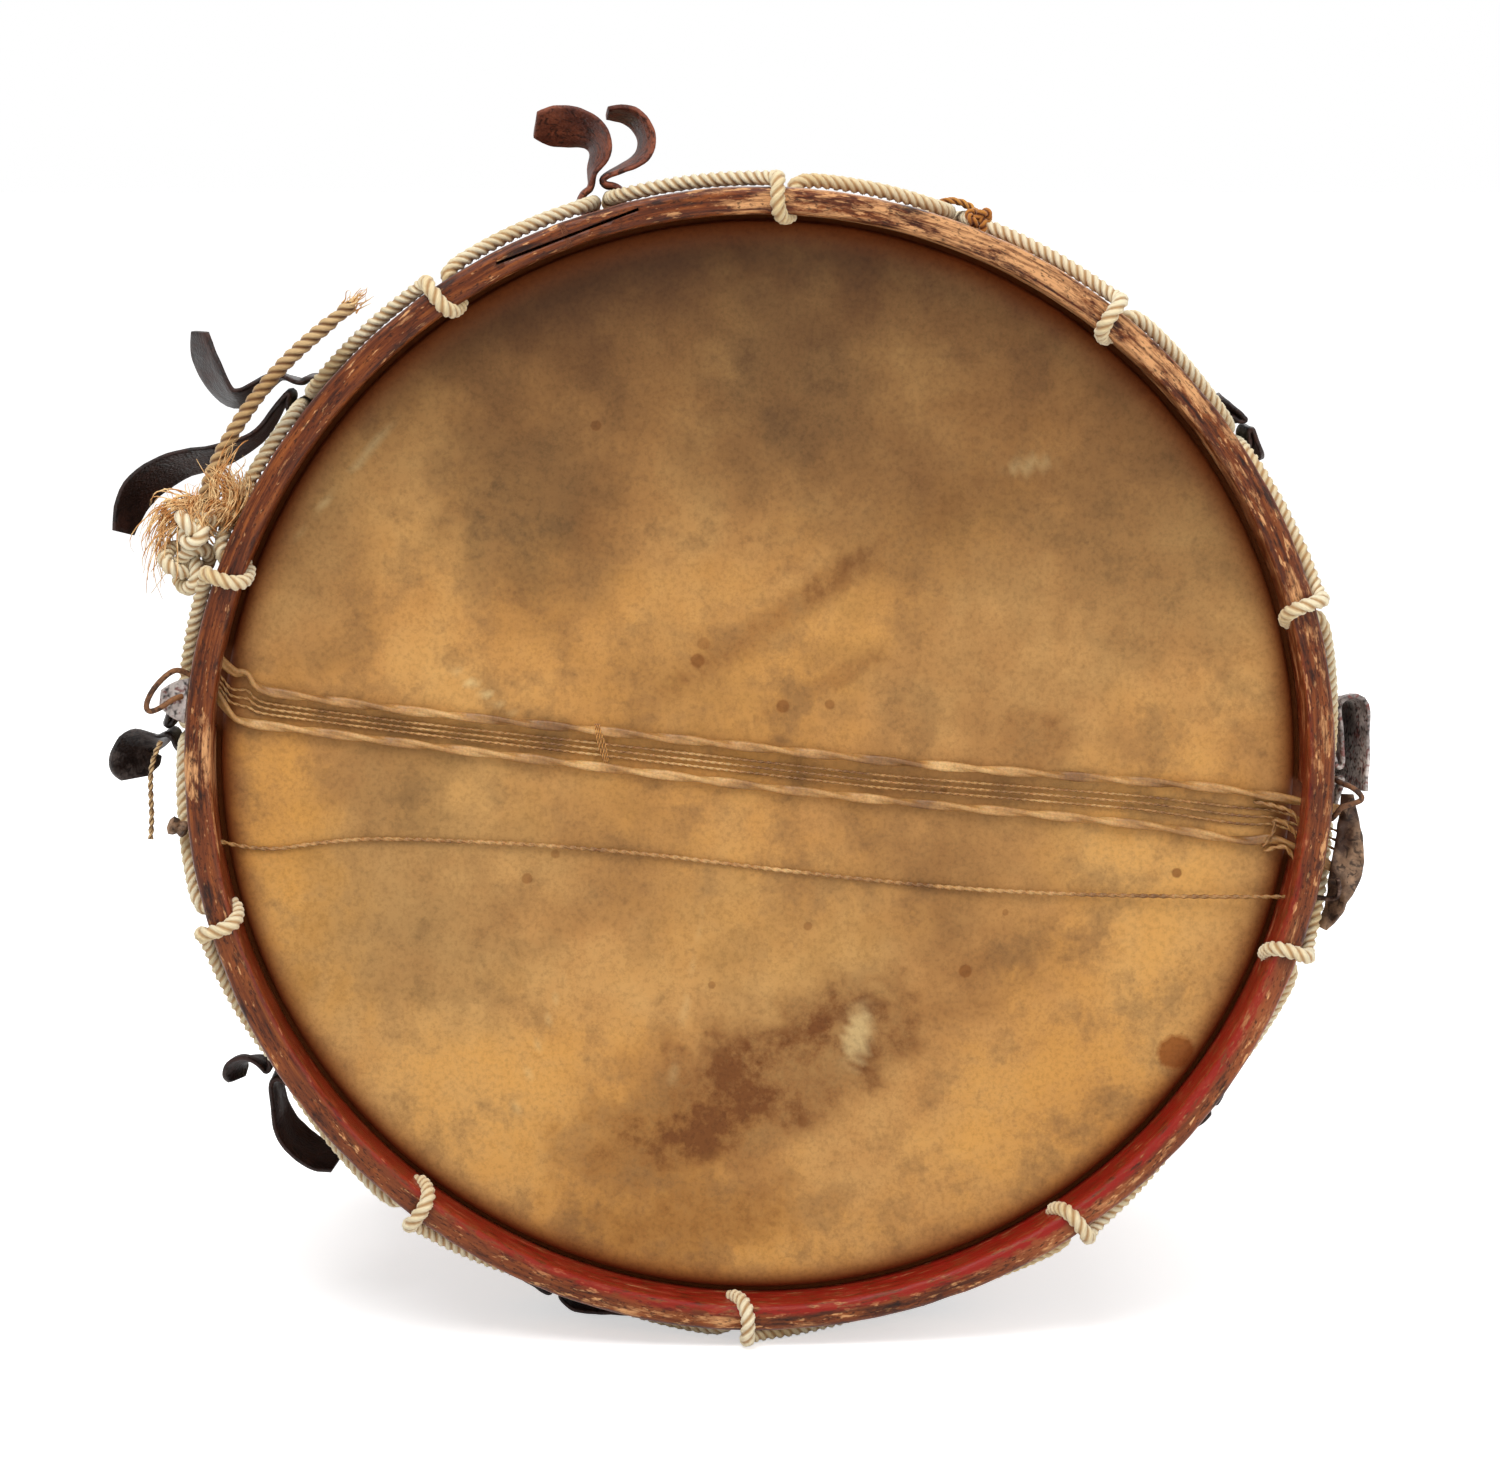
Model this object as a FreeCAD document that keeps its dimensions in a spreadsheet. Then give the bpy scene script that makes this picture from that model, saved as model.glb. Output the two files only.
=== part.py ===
"""A rope-tensioned militia side drum, lying on its side as an old drum is put away.

The drum is drawn standing on its batter head: its axis is Z, the snare head is up, and angles are counted as
seen from the snare side. One Placement then lays it down with the snare head towards -Y. It leans back a
little, because a turn of the rope holds the snare hoop off the ground while the batter hoop lies on it.
All sizes are millimetres, and each one is a cell of the sheet called sizes.
"""
import FreeCAD, Part
import math
import os

import Sketcher
from FreeCAD import Placement, Rotation, Vector

doc = FreeCAD.newDocument("militia_drum")

# Driving sizes, one cell each
SIZES = {
    # shell
    "shell_outer_radius": 208.0,
    "shell_wall": 6.0,
    "shell_length": 290.0,
    "bearing_land": 1.5,
    "bearing_bevel": 3.0,
    "bearing_shoulder": 3.8,
    "snare_bed_depth": 1.6,
    "snare_bed_width": 58.0,
    "vent_radius": 6.0,
    "vent_angle": 51.6,
    "grommet_wall": 1.6,
    "grommet_flange": 4.0,
    "grommet_flange_height": 1.4,
    "tack_head_radius": 3.2,
    "tack_head_height": 1.2,
    "tack_shank_radius": 0.9,
    "tack_shank_length": 4.5,
    "tack_spacing": 26.0,
    "seam_angle": 129.6,
    # reinforcing rings inside the shell
    "ring_thickness": 6.0,
    "ring_height": 36.0,
    "ring_setback": 7.0,
    # heads and the hoops that carry them
    "skin_thickness": 0.8,
    "skin_clearance": 0.4,
    "flesh_hoop_inset": 1.2,
    "flesh_hoop_width": 5.6,
    "flesh_hoop_height": 10.0,
    # counterhoops
    "hoop_standoff": 3.5,
    "hoop_wall": 10.5,
    "hoop_depth": 42.0,
    "hoop_rise": 20.0,
    "hoop_shoulder": 28.0,
    "rebate_depth": 4.0,
    "rim_round": 2.5,
    "rope_hole_radius": 4.0,
    "rope_hole_setback": 15.6,
    "scarf_gap": 1.0,
    "scarf_angle": 114.0,
    "scarf_slope": 9.0,
    "scarf_reach": 66.0,
    "scarf_depth": 30.0,
    "gate_width": 30.0,
    "gate_top_setback": 15.5,
    "left_gate_angle": 172.0,
    "right_gate_angle": -6.5,
    # rope
    "rope_diameter": 6.2,
    "rope_gap": 0.3,
    "turn_count": 10,
    "first_turn_angle": 87.6,
    "lane_spacing": 6.9,
    "hole_bend_radius": 4.0,
    "rim_bend_radius": 6.0,
    "leg_bend_radius": 6.0,
    "ear_setback": 66.0,
    # ears
    "ear_thickness": 2.6,
    "ear_width": 34.0,
    "ear_neck_gap": 0.5,
    "ear_end_length": 40.0,
    "ear_ground_gap": 0.5,
    "lace_diameter": 2.4,
    # tie in the place of the tenth ear
    "tie_diameter": 2.4,
    "tie_turns": 5,
    "tie_pitch": 3.0,
    "tie_slack": 0.9,
    # knot and free tail of the rope
    "knot_scale": 2.7,
    "knot_strand_diameter": 3.8,
    "knot_angle": 161.8,
    "knot_setback": 30.0,
    # snares
    "thick_snare_diameter": 2.2,
    "thin_snare_diameter": 1.2,
    "snare_lift": 0.3,
    "anchor_thickness": 5.0,
    "tab_width": 26.0,
    "tab_length": 11.0,
    "tab_rise": 1.0,
    "butt_thickness": 3.2,
    "butt_width": 15.0,
    "butt_start_angle": -2.6,
    "butt_sweep": 9.0,
    "butt_bulge": 6.0,
    "butt_rise": 3.0,
    "snare_knot_length": 8.0,
    "snare_knot_diameter": 7.0,
    "loose_hole_radius": 1.6,
    "loose_hole_rise": 6.2,
    "hook_wire_diameter": 2.0,
    "hook_reach": 7.0,
    "hook_bend_radius": 2.4,
    # running clearance between neighbours
    "clearance": 0.3,
    "overrun": 5.0,
}
# Sizes that follow from others: the hoops keep their place round the shell
FOLLOWING_SIZES = {
    "hoop_inner_radius": "=shell_outer_radius + hoop_standoff",
    "hoop_outer_radius": "=hoop_inner_radius + hoop_wall",
    "rebate_radius": "=hoop_inner_radius + rebate_depth",
}

sheet = doc.addObject("Spreadsheet::Sheet", "sizes")
for row, (alias, number) in enumerate((SIZES | FOLLOWING_SIZES).items(), start=1):
    sheet.set(f"A{row}", alias)
    sheet.set(f"B{row}", str(number))
    sheet.setAlias(f"B{row}", alias)
doc.recompute()


def size(alias):
    """The number in the sheet's cell."""
    return float(sheet.get(alias))


def value(expression):
    """An expression of the sheet's cells, worked out."""
    result = sheet.evalExpression(expression)
    return float(getattr(result, "Value", result))


subparts = []


def keep(item, label, placement=Placement()):
    """Name a finished sub-part, and note how it stands on the upright drum."""
    item.Label = label
    subparts.append((item, placement))
    return item


def kept_shape(label, shape, placement=Placement()):
    """A sub-part whose shape is worked out below."""
    feature = doc.addObject("Part::Feature", label + "_form")
    feature.Shape = shape
    return keep(feature, label, placement)


# Places used by several pieces
half_shell = size("shell_length") / 2
skin_top = half_shell + size("skin_thickness")
rim_height = half_shell + size("hoop_rise")
hoop_foot = rim_height - size("hoop_depth")
shoulder_height = rim_height - size("hoop_shoulder")
hole_height = rim_height - size("rope_hole_setback")
rope_radius = size("rope_diameter") / 2
lane_radius = size("hoop_outer_radius") + size("rope_gap") + rope_radius
inner_lane_radius = size("hoop_inner_radius") - size("rope_gap") - rope_radius
leg_radius = lane_radius + size("rope_gap")
turn_step = 360 / size("turn_count")
half_lane_angle = math.degrees(size("lane_spacing") / 2 / lane_radius)
ear_height = rim_height - size("ear_setback")
# the batter side is the same piece turned over, with its holes half a step on
TURNED_OVER = Placement(Vector(), Rotation(Vector(1, 0, 0), 180))


def polar(radius, angle, height):
    """A point of the upright drum, with its angle in degrees."""
    turn = math.radians(angle)
    return Vector(radius * math.cos(turn), radius * math.sin(turn), height)


# How the drum lies: on the rope round the snare hoop in front, and on the batter hoop behind
turn_angles = [size("first_turn_angle") - turn_step * turn for turn in range(int(size("turn_count")))]
lying_depth = leg_radius + rope_radius
front_rest = rim_height
hoop_step = lying_depth - size("hoop_outer_radius")
back_rest = rim_height - size("rim_round")
lean = math.atan2(hoop_step, front_rest + back_rest)
lying = Placement(Vector(), Rotation(Vector(1, 0, 0), 90))
lifted = Placement(Vector(0, front_rest, lying_depth), Rotation())
leaned = Placement(Vector(), Rotation(Vector(1, 0, 0), -math.degrees(lean)))
balanced = Placement(Vector(0, -front_rest * math.cos(lean) - lying_depth * math.sin(lean), 0), Rotation())
LAID_DOWN = balanced.multiply(leaned).multiply(lifted).multiply(lying)


def ground_height(height):
    """Where the ground is, on the upright drum's Y axis, at a height on its axis."""
    return -lying_depth + (front_rest - height) * math.tan(lean)


# Turned rings: a closed profile of (radius, height) expressions
def origin_plane(body, role):
    return next(plane for plane in body.Origin.OriginFeatures if plane.Role == role)


def profile_sketch(body, corners, plane="XZ_Plane"):
    """A sketch through the corners, each held by its two distances from the origin."""
    sketch = body.newObject("Sketcher::SketchObject", body.Name + "_profile")
    sketch.AttachmentSupport = (origin_plane(body, plane), [""])
    sketch.MapMode = "FlatFace"
    places = [Vector(value(across), value(up), 0) for across, up in corners]
    for number, place in enumerate(places):
        sketch.addGeometry(Part.LineSegment(place, places[(number + 1) % len(places)]))
    for number in range(len(places)):
        following = (number + 1) % len(places)
        sketch.addConstraint(Sketcher.Constraint("Coincident", number, 2, following, 1))
    for number, (across, up) in enumerate(corners):
        if places[number].x == 0:
            sketch.addConstraint(Sketcher.Constraint("PointOnObject", number, 1, -2))
        else:
            held = sketch.addConstraint(
                Sketcher.Constraint("DistanceX", -1, 1, number, 1, places[number].x))
            sketch.setExpression(f"Constraints[{held}]", across)
        held = sketch.addConstraint(Sketcher.Constraint("DistanceY", -1, 1, number, 1, places[number].y))
        sketch.setExpression(f"Constraints[{held}]", up)
    return sketch


def turned(name, corners):
    """A Body turned about the drum's axis from its profile."""
    body = doc.addObject("PartDesign::Body", name)
    sketch = profile_sketch(body, corners)
    turn = body.newObject("PartDesign::Revolution", name + "_turned")
    turn.Profile = sketch
    turn.ReferenceAxis = (sketch, ["V_Axis"])
    turn.Angle = 360
    body.Tip = turn
    doc.recompute()
    return body


def cut(name, base, tools):
    """The base with each tool taken away."""
    for number, tool in enumerate(tools):
        feature = doc.addObject("Part::Cut", f"{name}_cut{number}")
        feature.Base = base
        feature.Tool = tool
        base = feature
    doc.recompute()
    return base


def radial_bore(name, radius, length, place_radius, angle, height):
    """A cylinder that points outwards from the axis, to bore with."""
    tool = doc.addObject("Part::Cylinder", name)
    tool.setExpression("Radius", radius)
    tool.setExpression("Height", length)
    tool.Placement = Placement(polar(place_radius, angle, height),
                               Rotation(Vector(0, 0, 1), polar(1, angle, 0)))
    return tool


# Shell: a bent wooden tube with bevelled bearing edges, snare beds and a vent hole
half = "sizes.shell_length / 2"
outside = "sizes.shell_outer_radius"
inside = "sizes.shell_outer_radius - sizes.shell_wall"
land_out = "sizes.shell_outer_radius - sizes.bearing_shoulder"
land_in = "sizes.shell_outer_radius - sizes.bearing_shoulder - sizes.bearing_land"
shell_ring = turned("shell_ring", [
    (inside, f"-({half} - sizes.bearing_bevel)"),
    (land_in, f"-({half})"),
    (land_out, f"-({half})"),
    (outside, f"-({half} - sizes.bearing_shoulder)"),
    (outside, f"{half} - sizes.bearing_shoulder"),
    (land_out, half),
    (land_in, half),
    (inside, f"{half} - sizes.bearing_bevel"),
])


def snare_bed(name, angle):
    """A big cylinder across the bearing edge, which leaves a shallow dip of the named depth and width."""
    depth, width = size("snare_bed_depth"), size("snare_bed_width")
    radius = (width ** 2 / 4 + depth ** 2) / (2 * depth)
    tool = doc.addObject("Part::Cylinder", name)
    tool.Radius = radius
    tool.Height = 2 * size("shell_wall") + 2 * size("overrun")
    start = size("shell_outer_radius") - size("shell_wall") - size("overrun") - size("bearing_bevel")
    tool.Placement = Placement(polar(start, angle, half_shell - depth + radius),
                               Rotation(Vector(0, 0, 1), polar(1, angle, 0)))
    return tool


vent_bore = radial_bore("vent_bore", "sizes.vent_radius + sizes.grommet_wall",
                        "sizes.shell_wall + 2 * sizes.overrun",
                        size("shell_outer_radius") - size("shell_wall") - size("overrun"),
                        size("vent_angle"), 0)
tack_heights = [size("tack_spacing") * (number - 3) for number in range(7)]


def square_bar(name, length, height):
    """A tack's square-cut shank, or the hole that it makes."""
    bar = doc.addObject("Part::Prism", name)
    bar.Polygon = 4
    bar.setExpression("Circumradius", "sizes.tack_shank_radius")
    bar.setExpression("Height", length)
    bar.Placement = Placement(
        polar(size("shell_outer_radius") - size("tack_shank_length"), size("seam_angle"), height),
        Rotation(Vector(0, 0, 1), polar(1, size("seam_angle"), 0)))
    return bar


def tack_bore(number, height):
    return square_bar(f"tack_bore_{number}", "sizes.tack_shank_length + sizes.overrun", height)


keep(cut("shell", shell_ring, [
    snare_bed("left_bed", size("left_gate_angle")),
    snare_bed("right_bed", size("right_gate_angle")),
    vent_bore,
] + [tack_bore(number, height) for number, height in enumerate(tack_heights)]), "shell")


# Vent grommet: a flanged bone bush in the vent hole
def grommet():
    body = doc.addObject("PartDesign::Body", "grommet_bush")
    bore = "sizes.vent_radius"
    bush = "sizes.vent_radius + sizes.grommet_wall"
    flange = "sizes.vent_radius + sizes.grommet_flange"
    sketch = profile_sketch(body, [
        (bore, "-sizes.shell_wall"),
        (bush, "-sizes.shell_wall"),
        (bush, "sizes.clearance"),
        (flange, "sizes.clearance"),
        (flange, "sizes.clearance + sizes.grommet_flange_height"),
        (bore, "sizes.clearance + sizes.grommet_flange_height"),
    ])
    turn = body.newObject("PartDesign::Revolution", "grommet_turned")
    turn.Profile = sketch
    turn.ReferenceAxis = (sketch, ["V_Axis"])
    turn.Angle = 360
    body.Tip = turn
    doc.recompute()
    return body


outwards = Rotation(Vector(0, 0, 1), polar(1, size("vent_angle"), 0))
keep(grommet(), "vent_grommet", Placement(polar(size("shell_outer_radius"), size("vent_angle"), 0), outwards))


# Seam tacks: six-sided heads on round shanks, in a row along the shell's lap
def tack(number, height):
    head = doc.addObject("Part::Prism", f"tack_head_{number}")
    head.Polygon = 6
    head.setExpression("Circumradius", "sizes.tack_head_radius")
    head.setExpression("Height", "sizes.tack_head_height")
    shank = square_bar(f"tack_shank_{number}", "sizes.tack_shank_length", height)
    facing = Rotation(Vector(0, 0, 1), polar(1, size("seam_angle"), 0))
    head.Placement = Placement(polar(size("shell_outer_radius"), size("seam_angle"), height), facing)
    whole = doc.addObject("Part::Fuse", f"tack_{number}")
    whole.Base = head
    whole.Tool = shank
    return whole


tacks = doc.addObject("Part::Compound", "tack_row")
tacks.Links = [tack(number, height) for number, height in enumerate(tack_heights)]
doc.recompute()
keep(tacks, "seam_tacks")

# Reinforcing rings, glued inside both ends of the shell
ring_outside = "sizes.shell_outer_radius - sizes.shell_wall"
ring_inside = "sizes.shell_outer_radius - sizes.shell_wall - sizes.ring_thickness"
ring_top = "sizes.shell_length / 2 - sizes.ring_setback"
for label, placement in (("reinforcing_ring_snare", Placement()), ("reinforcing_ring_batter", TURNED_OVER)):
    keep(turned(label + "_band", [
        (ring_inside, f"{ring_top} - sizes.ring_height"),
        (ring_outside, f"{ring_top} - sizes.ring_height"),
        (ring_outside, ring_top),
        (ring_inside, f"{ring_top} - sizes.ring_thickness / 2"),
    ]), label, placement)

# Heads: skin flat to the bearing edge, down its shoulder and out over its flesh hoop
skin = "sizes.skin_thickness"
edge_height = half
shoulder_offset = f"{skin} * tan(22.5 deg)"
wall_top = f"{half} - sizes.bearing_shoulder"
wall_in = f"{outside} + sizes.skin_clearance"
wall_out = f"{wall_in} + {skin}"
shoulder = f"{half} + sizes.hoop_rise - sizes.hoop_shoulder - sizes.clearance"
hoop_out = f"{outside} + sizes.flesh_hoop_inset + sizes.flesh_hoop_width"
hoop_in = f"{outside} + sizes.flesh_hoop_inset"
hoop_top = f"{shoulder} - {skin}"
hoop_low = f"{hoop_top} - sizes.flesh_hoop_height"
for label, placement in (("snare_head", Placement()), ("batter_head", TURNED_OVER)):
    keep(turned(label + "_skin", [
        ("0", edge_height),
        (land_out, edge_height),
        (wall_in, wall_top),
        (wall_in, hoop_top),
        (hoop_out, hoop_top),
        (hoop_out, shoulder),
        (wall_out, shoulder),
        (wall_out, f"{wall_top} + {shoulder_offset}"),
        (f"{land_out} + {shoulder_offset}", f"{edge_height} + {skin}"),
        ("0", f"{edge_height} + {skin}"),
    ]), label, placement)
for label, placement in (("snare_flesh_hoop", Placement()), ("batter_flesh_hoop", TURNED_OVER)):
    keep(turned(label + "_band", [
        (hoop_in, hoop_low),
        (hoop_out, hoop_low),
        (hoop_out, hoop_top),
        (hoop_in, hoop_top),
    ]), label, placement)

# Counterhoops: bent hoops with a rebate over the flesh hoop, rope holes, a scarf joint and snare gates
rim = f"{half} + sizes.hoop_rise"
foot = f"{rim} - sizes.hoop_depth"
seat = f"{rim} - sizes.hoop_shoulder"


def hoop_band(name):
    return turned(name, [
        ("sizes.rebate_radius", foot),
        ("sizes.hoop_outer_radius", foot),
        ("sizes.hoop_outer_radius", f"{rim} - sizes.rim_round"),
        ("sizes.hoop_outer_radius - sizes.rim_round", rim),
        ("sizes.hoop_inner_radius + sizes.rim_round", rim),
        ("sizes.hoop_inner_radius", f"{rim} - sizes.rim_round"),
        ("sizes.hoop_inner_radius", seat),
        ("sizes.rebate_radius", seat),
    ])


def rope_bores(name, hole_angles):
    """Eight-sided holes, which stand for the burnt round ones with few facets."""
    bores = []
    for number, angle in enumerate(hole_angles):
        bore = doc.addObject("Part::Prism", f"{name}_bore_{number}")
        bore.Polygon = 8
        bore.setExpression("Circumradius", "sizes.rope_hole_radius / cos(22.5 deg)")
        bore.setExpression("Height", "sizes.hoop_outer_radius - sizes.hoop_inner_radius + 2 * sizes.overrun")
        bore.Placement = Placement(
            polar(size("hoop_inner_radius") - size("overrun"), angle, hole_height),
            Rotation(Vector(0, 0, 1), polar(1, angle, 0)))
        bores.append(bore)
    return bores


def gate(name, angle):
    """A notch from the hoop's foot that lets the snares out."""
    tool = doc.addObject("Part::Box", name)
    tool.setExpression("Length", "sizes.hoop_outer_radius - sizes.hoop_inner_radius + 2 * sizes.overrun")
    tool.setExpression("Width", "sizes.gate_width")
    tool.setExpression("Height", "sizes.hoop_depth - sizes.gate_top_setback + sizes.overrun")
    turn = Rotation(Vector(0, 0, 1), angle)
    corner = Vector(size("hoop_inner_radius") - size("overrun"), -size("gate_width") / 2,
                    hoop_foot - size("overrun"))
    tool.Placement = Placement(turn.multVec(corner), turn)
    return tool


def scarf(name, angle):
    """A thin slanting slab: the gap that opened where the hoop's two tapered ends lap."""
    tool = doc.addObject("Part::Box", name)
    tool.setExpression("Length", "sizes.scarf_reach")
    tool.setExpression("Width", "sizes.scarf_gap")
    tool.setExpression("Height", "sizes.scarf_depth + sizes.overrun")
    middle = (size("hoop_outer_radius") + size("hoop_inner_radius")) / 2
    turn = Rotation(Vector(0, 0, 1), angle + 90 + size("scarf_slope"))
    corner = Vector(-size("scarf_reach") / 2, -size("scarf_gap") / 2, 0)
    tool.Placement = Placement(
        polar(middle, angle, rim_height - size("scarf_depth")) + turn.multVec(corner), turn)
    return tool


# Snare routes across the snare head, as shares of the hoop's inner radius (across, up)
UPPER_SNARE_SHARES = ((-1.0, 0.185), (-0.94, 0.160), (-0.885, 0.122), (-0.62, 0.094), (-0.28, 0.058),
                      (0.26, -0.004), (0.64, -0.034), (1.0, -0.060))
LOWER_SNARE_SHARES = ((-1.0, 0.118), (-0.94, 0.090), (-0.70, 0.044), (-0.28, -0.010), (0.19, -0.070),
                      (0.72, -0.118), (1.0, -0.138))
LOOSE_SNARE_SHARES = ((-0.989, -0.147), (-0.94, -0.166), (-0.79, -0.142), (-0.66, -0.138), (-0.28, -0.160),
                      (0.08, -0.208), (0.46, -0.248), (0.92, -0.256), (0.967, -0.254))
LOOSE_RISE_SHARES = (0, 0, 0, 0, 0, 0, 0, 0.5, 1)
FINE_SNARE_SHARES = (0.33, 0.50, 0.67)
thick, thin = size("thick_snare_diameter"), size("thin_snare_diameter")
snare_floor = skin_top + size("snare_lift")
left_reach = size("hoop_outer_radius") + size("clearance")
right_reach = leg_radius + rope_radius + size("clearance")


def snare_route(shares, shift, diameter, rises=None, reaches=(left_reach, right_reach)):
    """A strand's places on the skin, with both ends carried on through the hoop's wall to their reach."""
    rises = rises or [0] * len(shares)
    places = [Vector(across * size("hoop_inner_radius"), up * size("hoop_inner_radius") + shift,
                     snare_floor + diameter / 2 + size("loose_hole_rise") * rise)
              for (across, up), rise in zip(shares, rises)]
    for end, inner, reach in ((0, 1, reaches[0]), (-1, -2, reaches[1])):
        ahead = places[end] - places[inner]
        ahead.z = 0
        ahead.normalize()
        flat = Vector(places[end].x, places[end].y, 0)
        along = flat.dot(ahead)
        places[end] = places[end] + ahead * (math.sqrt(along ** 2 + reach ** 2 - flat.dot(flat)) - along)
    return places


loose_route = snare_route(LOOSE_SNARE_SHARES, 0, thin, LOOSE_RISE_SHARES,
                          (left_reach + size("loose_hole_radius"), left_reach))


def loose_bore(name, outer, inner):
    """A small six-sided hole along the run that the loose snare makes through the hoop's wall."""
    run = (outer - inner).normalize()
    tool = doc.addObject("Part::Prism", name)
    tool.Polygon = 6
    tool.setExpression("Circumradius", "sizes.loose_hole_radius")
    tool.setExpression("Height", "2 * (sizes.hoop_outer_radius - sizes.hoop_inner_radius)")
    wall = size("hoop_outer_radius") - size("hoop_inner_radius")
    tool.Placement = Placement(outer - run * (3 / 2 * wall), Rotation(Vector(0, 0, 1), run))
    return tool


ear_angles = [angle - turn_step / 2 for angle in turn_angles]
keep(cut("snare_counterhoop", hoop_band("snare_hoop_band"),
         rope_bores("snare_hoop", [angle - half_lane_angle for angle in turn_angles])
         + [gate("left_gate", size("left_gate_angle")), gate("right_gate", size("right_gate_angle"))]
         + [loose_bore("loose_bore_left", loose_route[0], loose_route[1]),
            loose_bore("loose_bore_right", loose_route[-1], loose_route[-2])]
         + [scarf("snare_scarf", size("scarf_angle"))]), "snare_counterhoop")
keep(cut("batter_counterhoop", hoop_band("batter_hoop_band"),
         rope_bores("batter_hoop", [half_lane_angle - angle for angle in ear_angles])
         + [scarf("batter_scarf", -size("scarf_angle"))]), "batter_counterhoop", TURNED_OVER)


# Cords: routes of straight runs and tangent arcs, as six-sided tubes
def rounded(corners):
    """Points along a route, given as (place, bend radius): each corner becomes an arc of short steps."""
    route = [corners[0][0]]
    for (before, _), (corner, radius), (after, _) in zip(corners, corners[1:], corners[2:]):
        inward, outward = (before - corner).normalize(), (after - corner).normalize()
        opening = inward.getAngle(outward)
        reach = radius / math.tan(opening / 2)
        steps = max(1, round(math.degrees(math.pi - opening) / BEND_STEP_DEGREES))
        centre = corner + (inward + outward).normalize() * (radius / math.sin(opening / 2))
        first, last = corner + inward * reach - centre, corner + outward * reach - centre
        sweep = math.pi - opening
        for step in range(steps + 1):
            share = step / steps
            arm = first * math.sin((1 - share) * sweep) + last * math.sin(share * sweep)
            route.append(centre + arm.normalize() * radius)
    route.append(corners[-1][0])
    return route


def carried_frames(route, across):
    """At each point of a route its direction, and a sideways vector carried along without twist."""
    frames = []
    for number, point in enumerate(route):
        before = route[max(number - 1, 0)]
        after = route[min(number + 1, len(route) - 1)]
        ahead = (after - before).normalize()
        across = (across - ahead * across.dot(ahead)).normalize()
        frames.append((point, ahead, across))
    return frames


def faceted_solid(sections):
    """A closed solid through sections with as many corners each, in flat three-sided facets."""
    def facet(*corners):
        return Part.Face(Part.makePolygon([*corners, corners[0]]))

    facets = [facet(*sections[0]), facet(*sections[-1])]
    for low, high in zip(sections, sections[1:]):
        for corner in range(len(low)):
            following = (corner + 1) % len(low)
            facets.append(facet(low[corner], low[following], high[following]))
            facets.append(facet(low[corner], high[following], high[corner]))
    solid = Part.makeSolid(Part.makeShell(facets))
    if solid.Volume < 0:
        solid.reverse()
    return solid


def cord_solid(name, route, diameter, across=Vector(0, 0, 1), girth_shares=None):
    """A faceted tube along a route. It prints how near its volume comes to its section times its length."""
    sections = []
    girth_shares = girth_shares or [1] * len(route)
    for (point, ahead, side), girth in zip(carried_frames(route, across), girth_shares):
        other = ahead.cross(side)
        corners = []
        for facet in range(CORD_SIDES):
            turn = 2 * math.pi * (facet + 0.5) / CORD_SIDES
            corners.append(point + (side * math.cos(turn) + other * math.sin(turn)) * (girth * diameter / 2))
        sections.append(corners)
    solid = faceted_solid(sections)
    length = sum((after - before).Length for before, after in zip(route, route[1:]))
    area = CORD_SIDES / 2 * math.sin(2 * math.pi / CORD_SIDES) * (diameter / 2) ** 2
    filled = solid.Volume / (area * length)
    print(f"{name}: length {length:.1f}, volume over section times length {filled:.3f}")
    return solid


BEND_STEP_DEGREES = 45
CORD_SIDES = 6

# Tension rope: over the rim, back out through the hole, and to the ear on its way to the other hoop
lane_mouth = ear_height + size("ear_width") / 2 + size("leg_bend_radius") + rope_radius
over_rim = rim_height + size("rope_gap") + rope_radius
mid_wall = (size("hoop_outer_radius") + size("hoop_inner_radius")) / 2
hole_bend, rim_bend, leg_bend = (size(name + "_bend_radius") for name in ("hole", "rim", "leg"))
LEG_SHARES = (0.33, 0.67)


def leg(start_angle, start_height, end_angle, end_height, bend):
    """The rope round the outside of the hoop between a turn and an ear, as gentle corners."""
    return [(polar(leg_radius, start_angle + (end_angle - start_angle) * share,
                   start_height + (end_height - start_height) * share), bend) for share in LEG_SHARES]


def rope_period(turn_angle):
    """One of the rope's equal lengths, from inside one snare-side hole to inside the next."""
    out_lane, back_lane = (turn_angle - turn_step / 2 + side * half_lane_angle for side in (1, -1))
    hole, next_turn = turn_angle - half_lane_angle, turn_angle - turn_step
    next_lane, next_hole = next_turn + half_lane_angle, next_turn - half_lane_angle
    climb = rim_height - size("rim_round") - rim_bend
    return rounded([
        (polar(mid_wall, hole, hole_height), 0),
        (polar(lane_radius, hole, hole_height), hole_bend),
        *leg(hole, hole_height, out_lane, lane_mouth, leg_bend),
        (polar(lane_radius, out_lane, lane_mouth), leg_bend),
        (polar(lane_radius, out_lane, -over_rim), rim_bend),
        (polar(inner_lane_radius, out_lane, -over_rim), rim_bend),
        (polar(inner_lane_radius, back_lane, -hole_height), hole_bend),
        (polar(lane_radius, back_lane, -hole_height), hole_bend),
        (polar(lane_radius, back_lane, lane_mouth), leg_bend),
        *leg(back_lane, lane_mouth, next_lane, climb, leg_bend),
        (polar(lane_radius, next_lane, climb), leg_bend),
        (polar(lane_radius, next_lane, over_rim), rim_bend),
        (polar(inner_lane_radius, next_lane, over_rim), rim_bend),
        (polar(inner_lane_radius, next_hole, hole_height), hole_bend),
        (polar(mid_wall, next_hole, hole_height), 0),
    ])


kept_shape("tension_rope", Part.makeCompound(
    [cord_solid("rope period", rope_period(angle), size("rope_diameter")) for angle in turn_angles]))

# Tie: cord wound round two lanes of the rope, where the tenth ear is missing
tie_radius = rope_radius + size("tie_diameter") / 2 + size("tie_slack")
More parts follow.
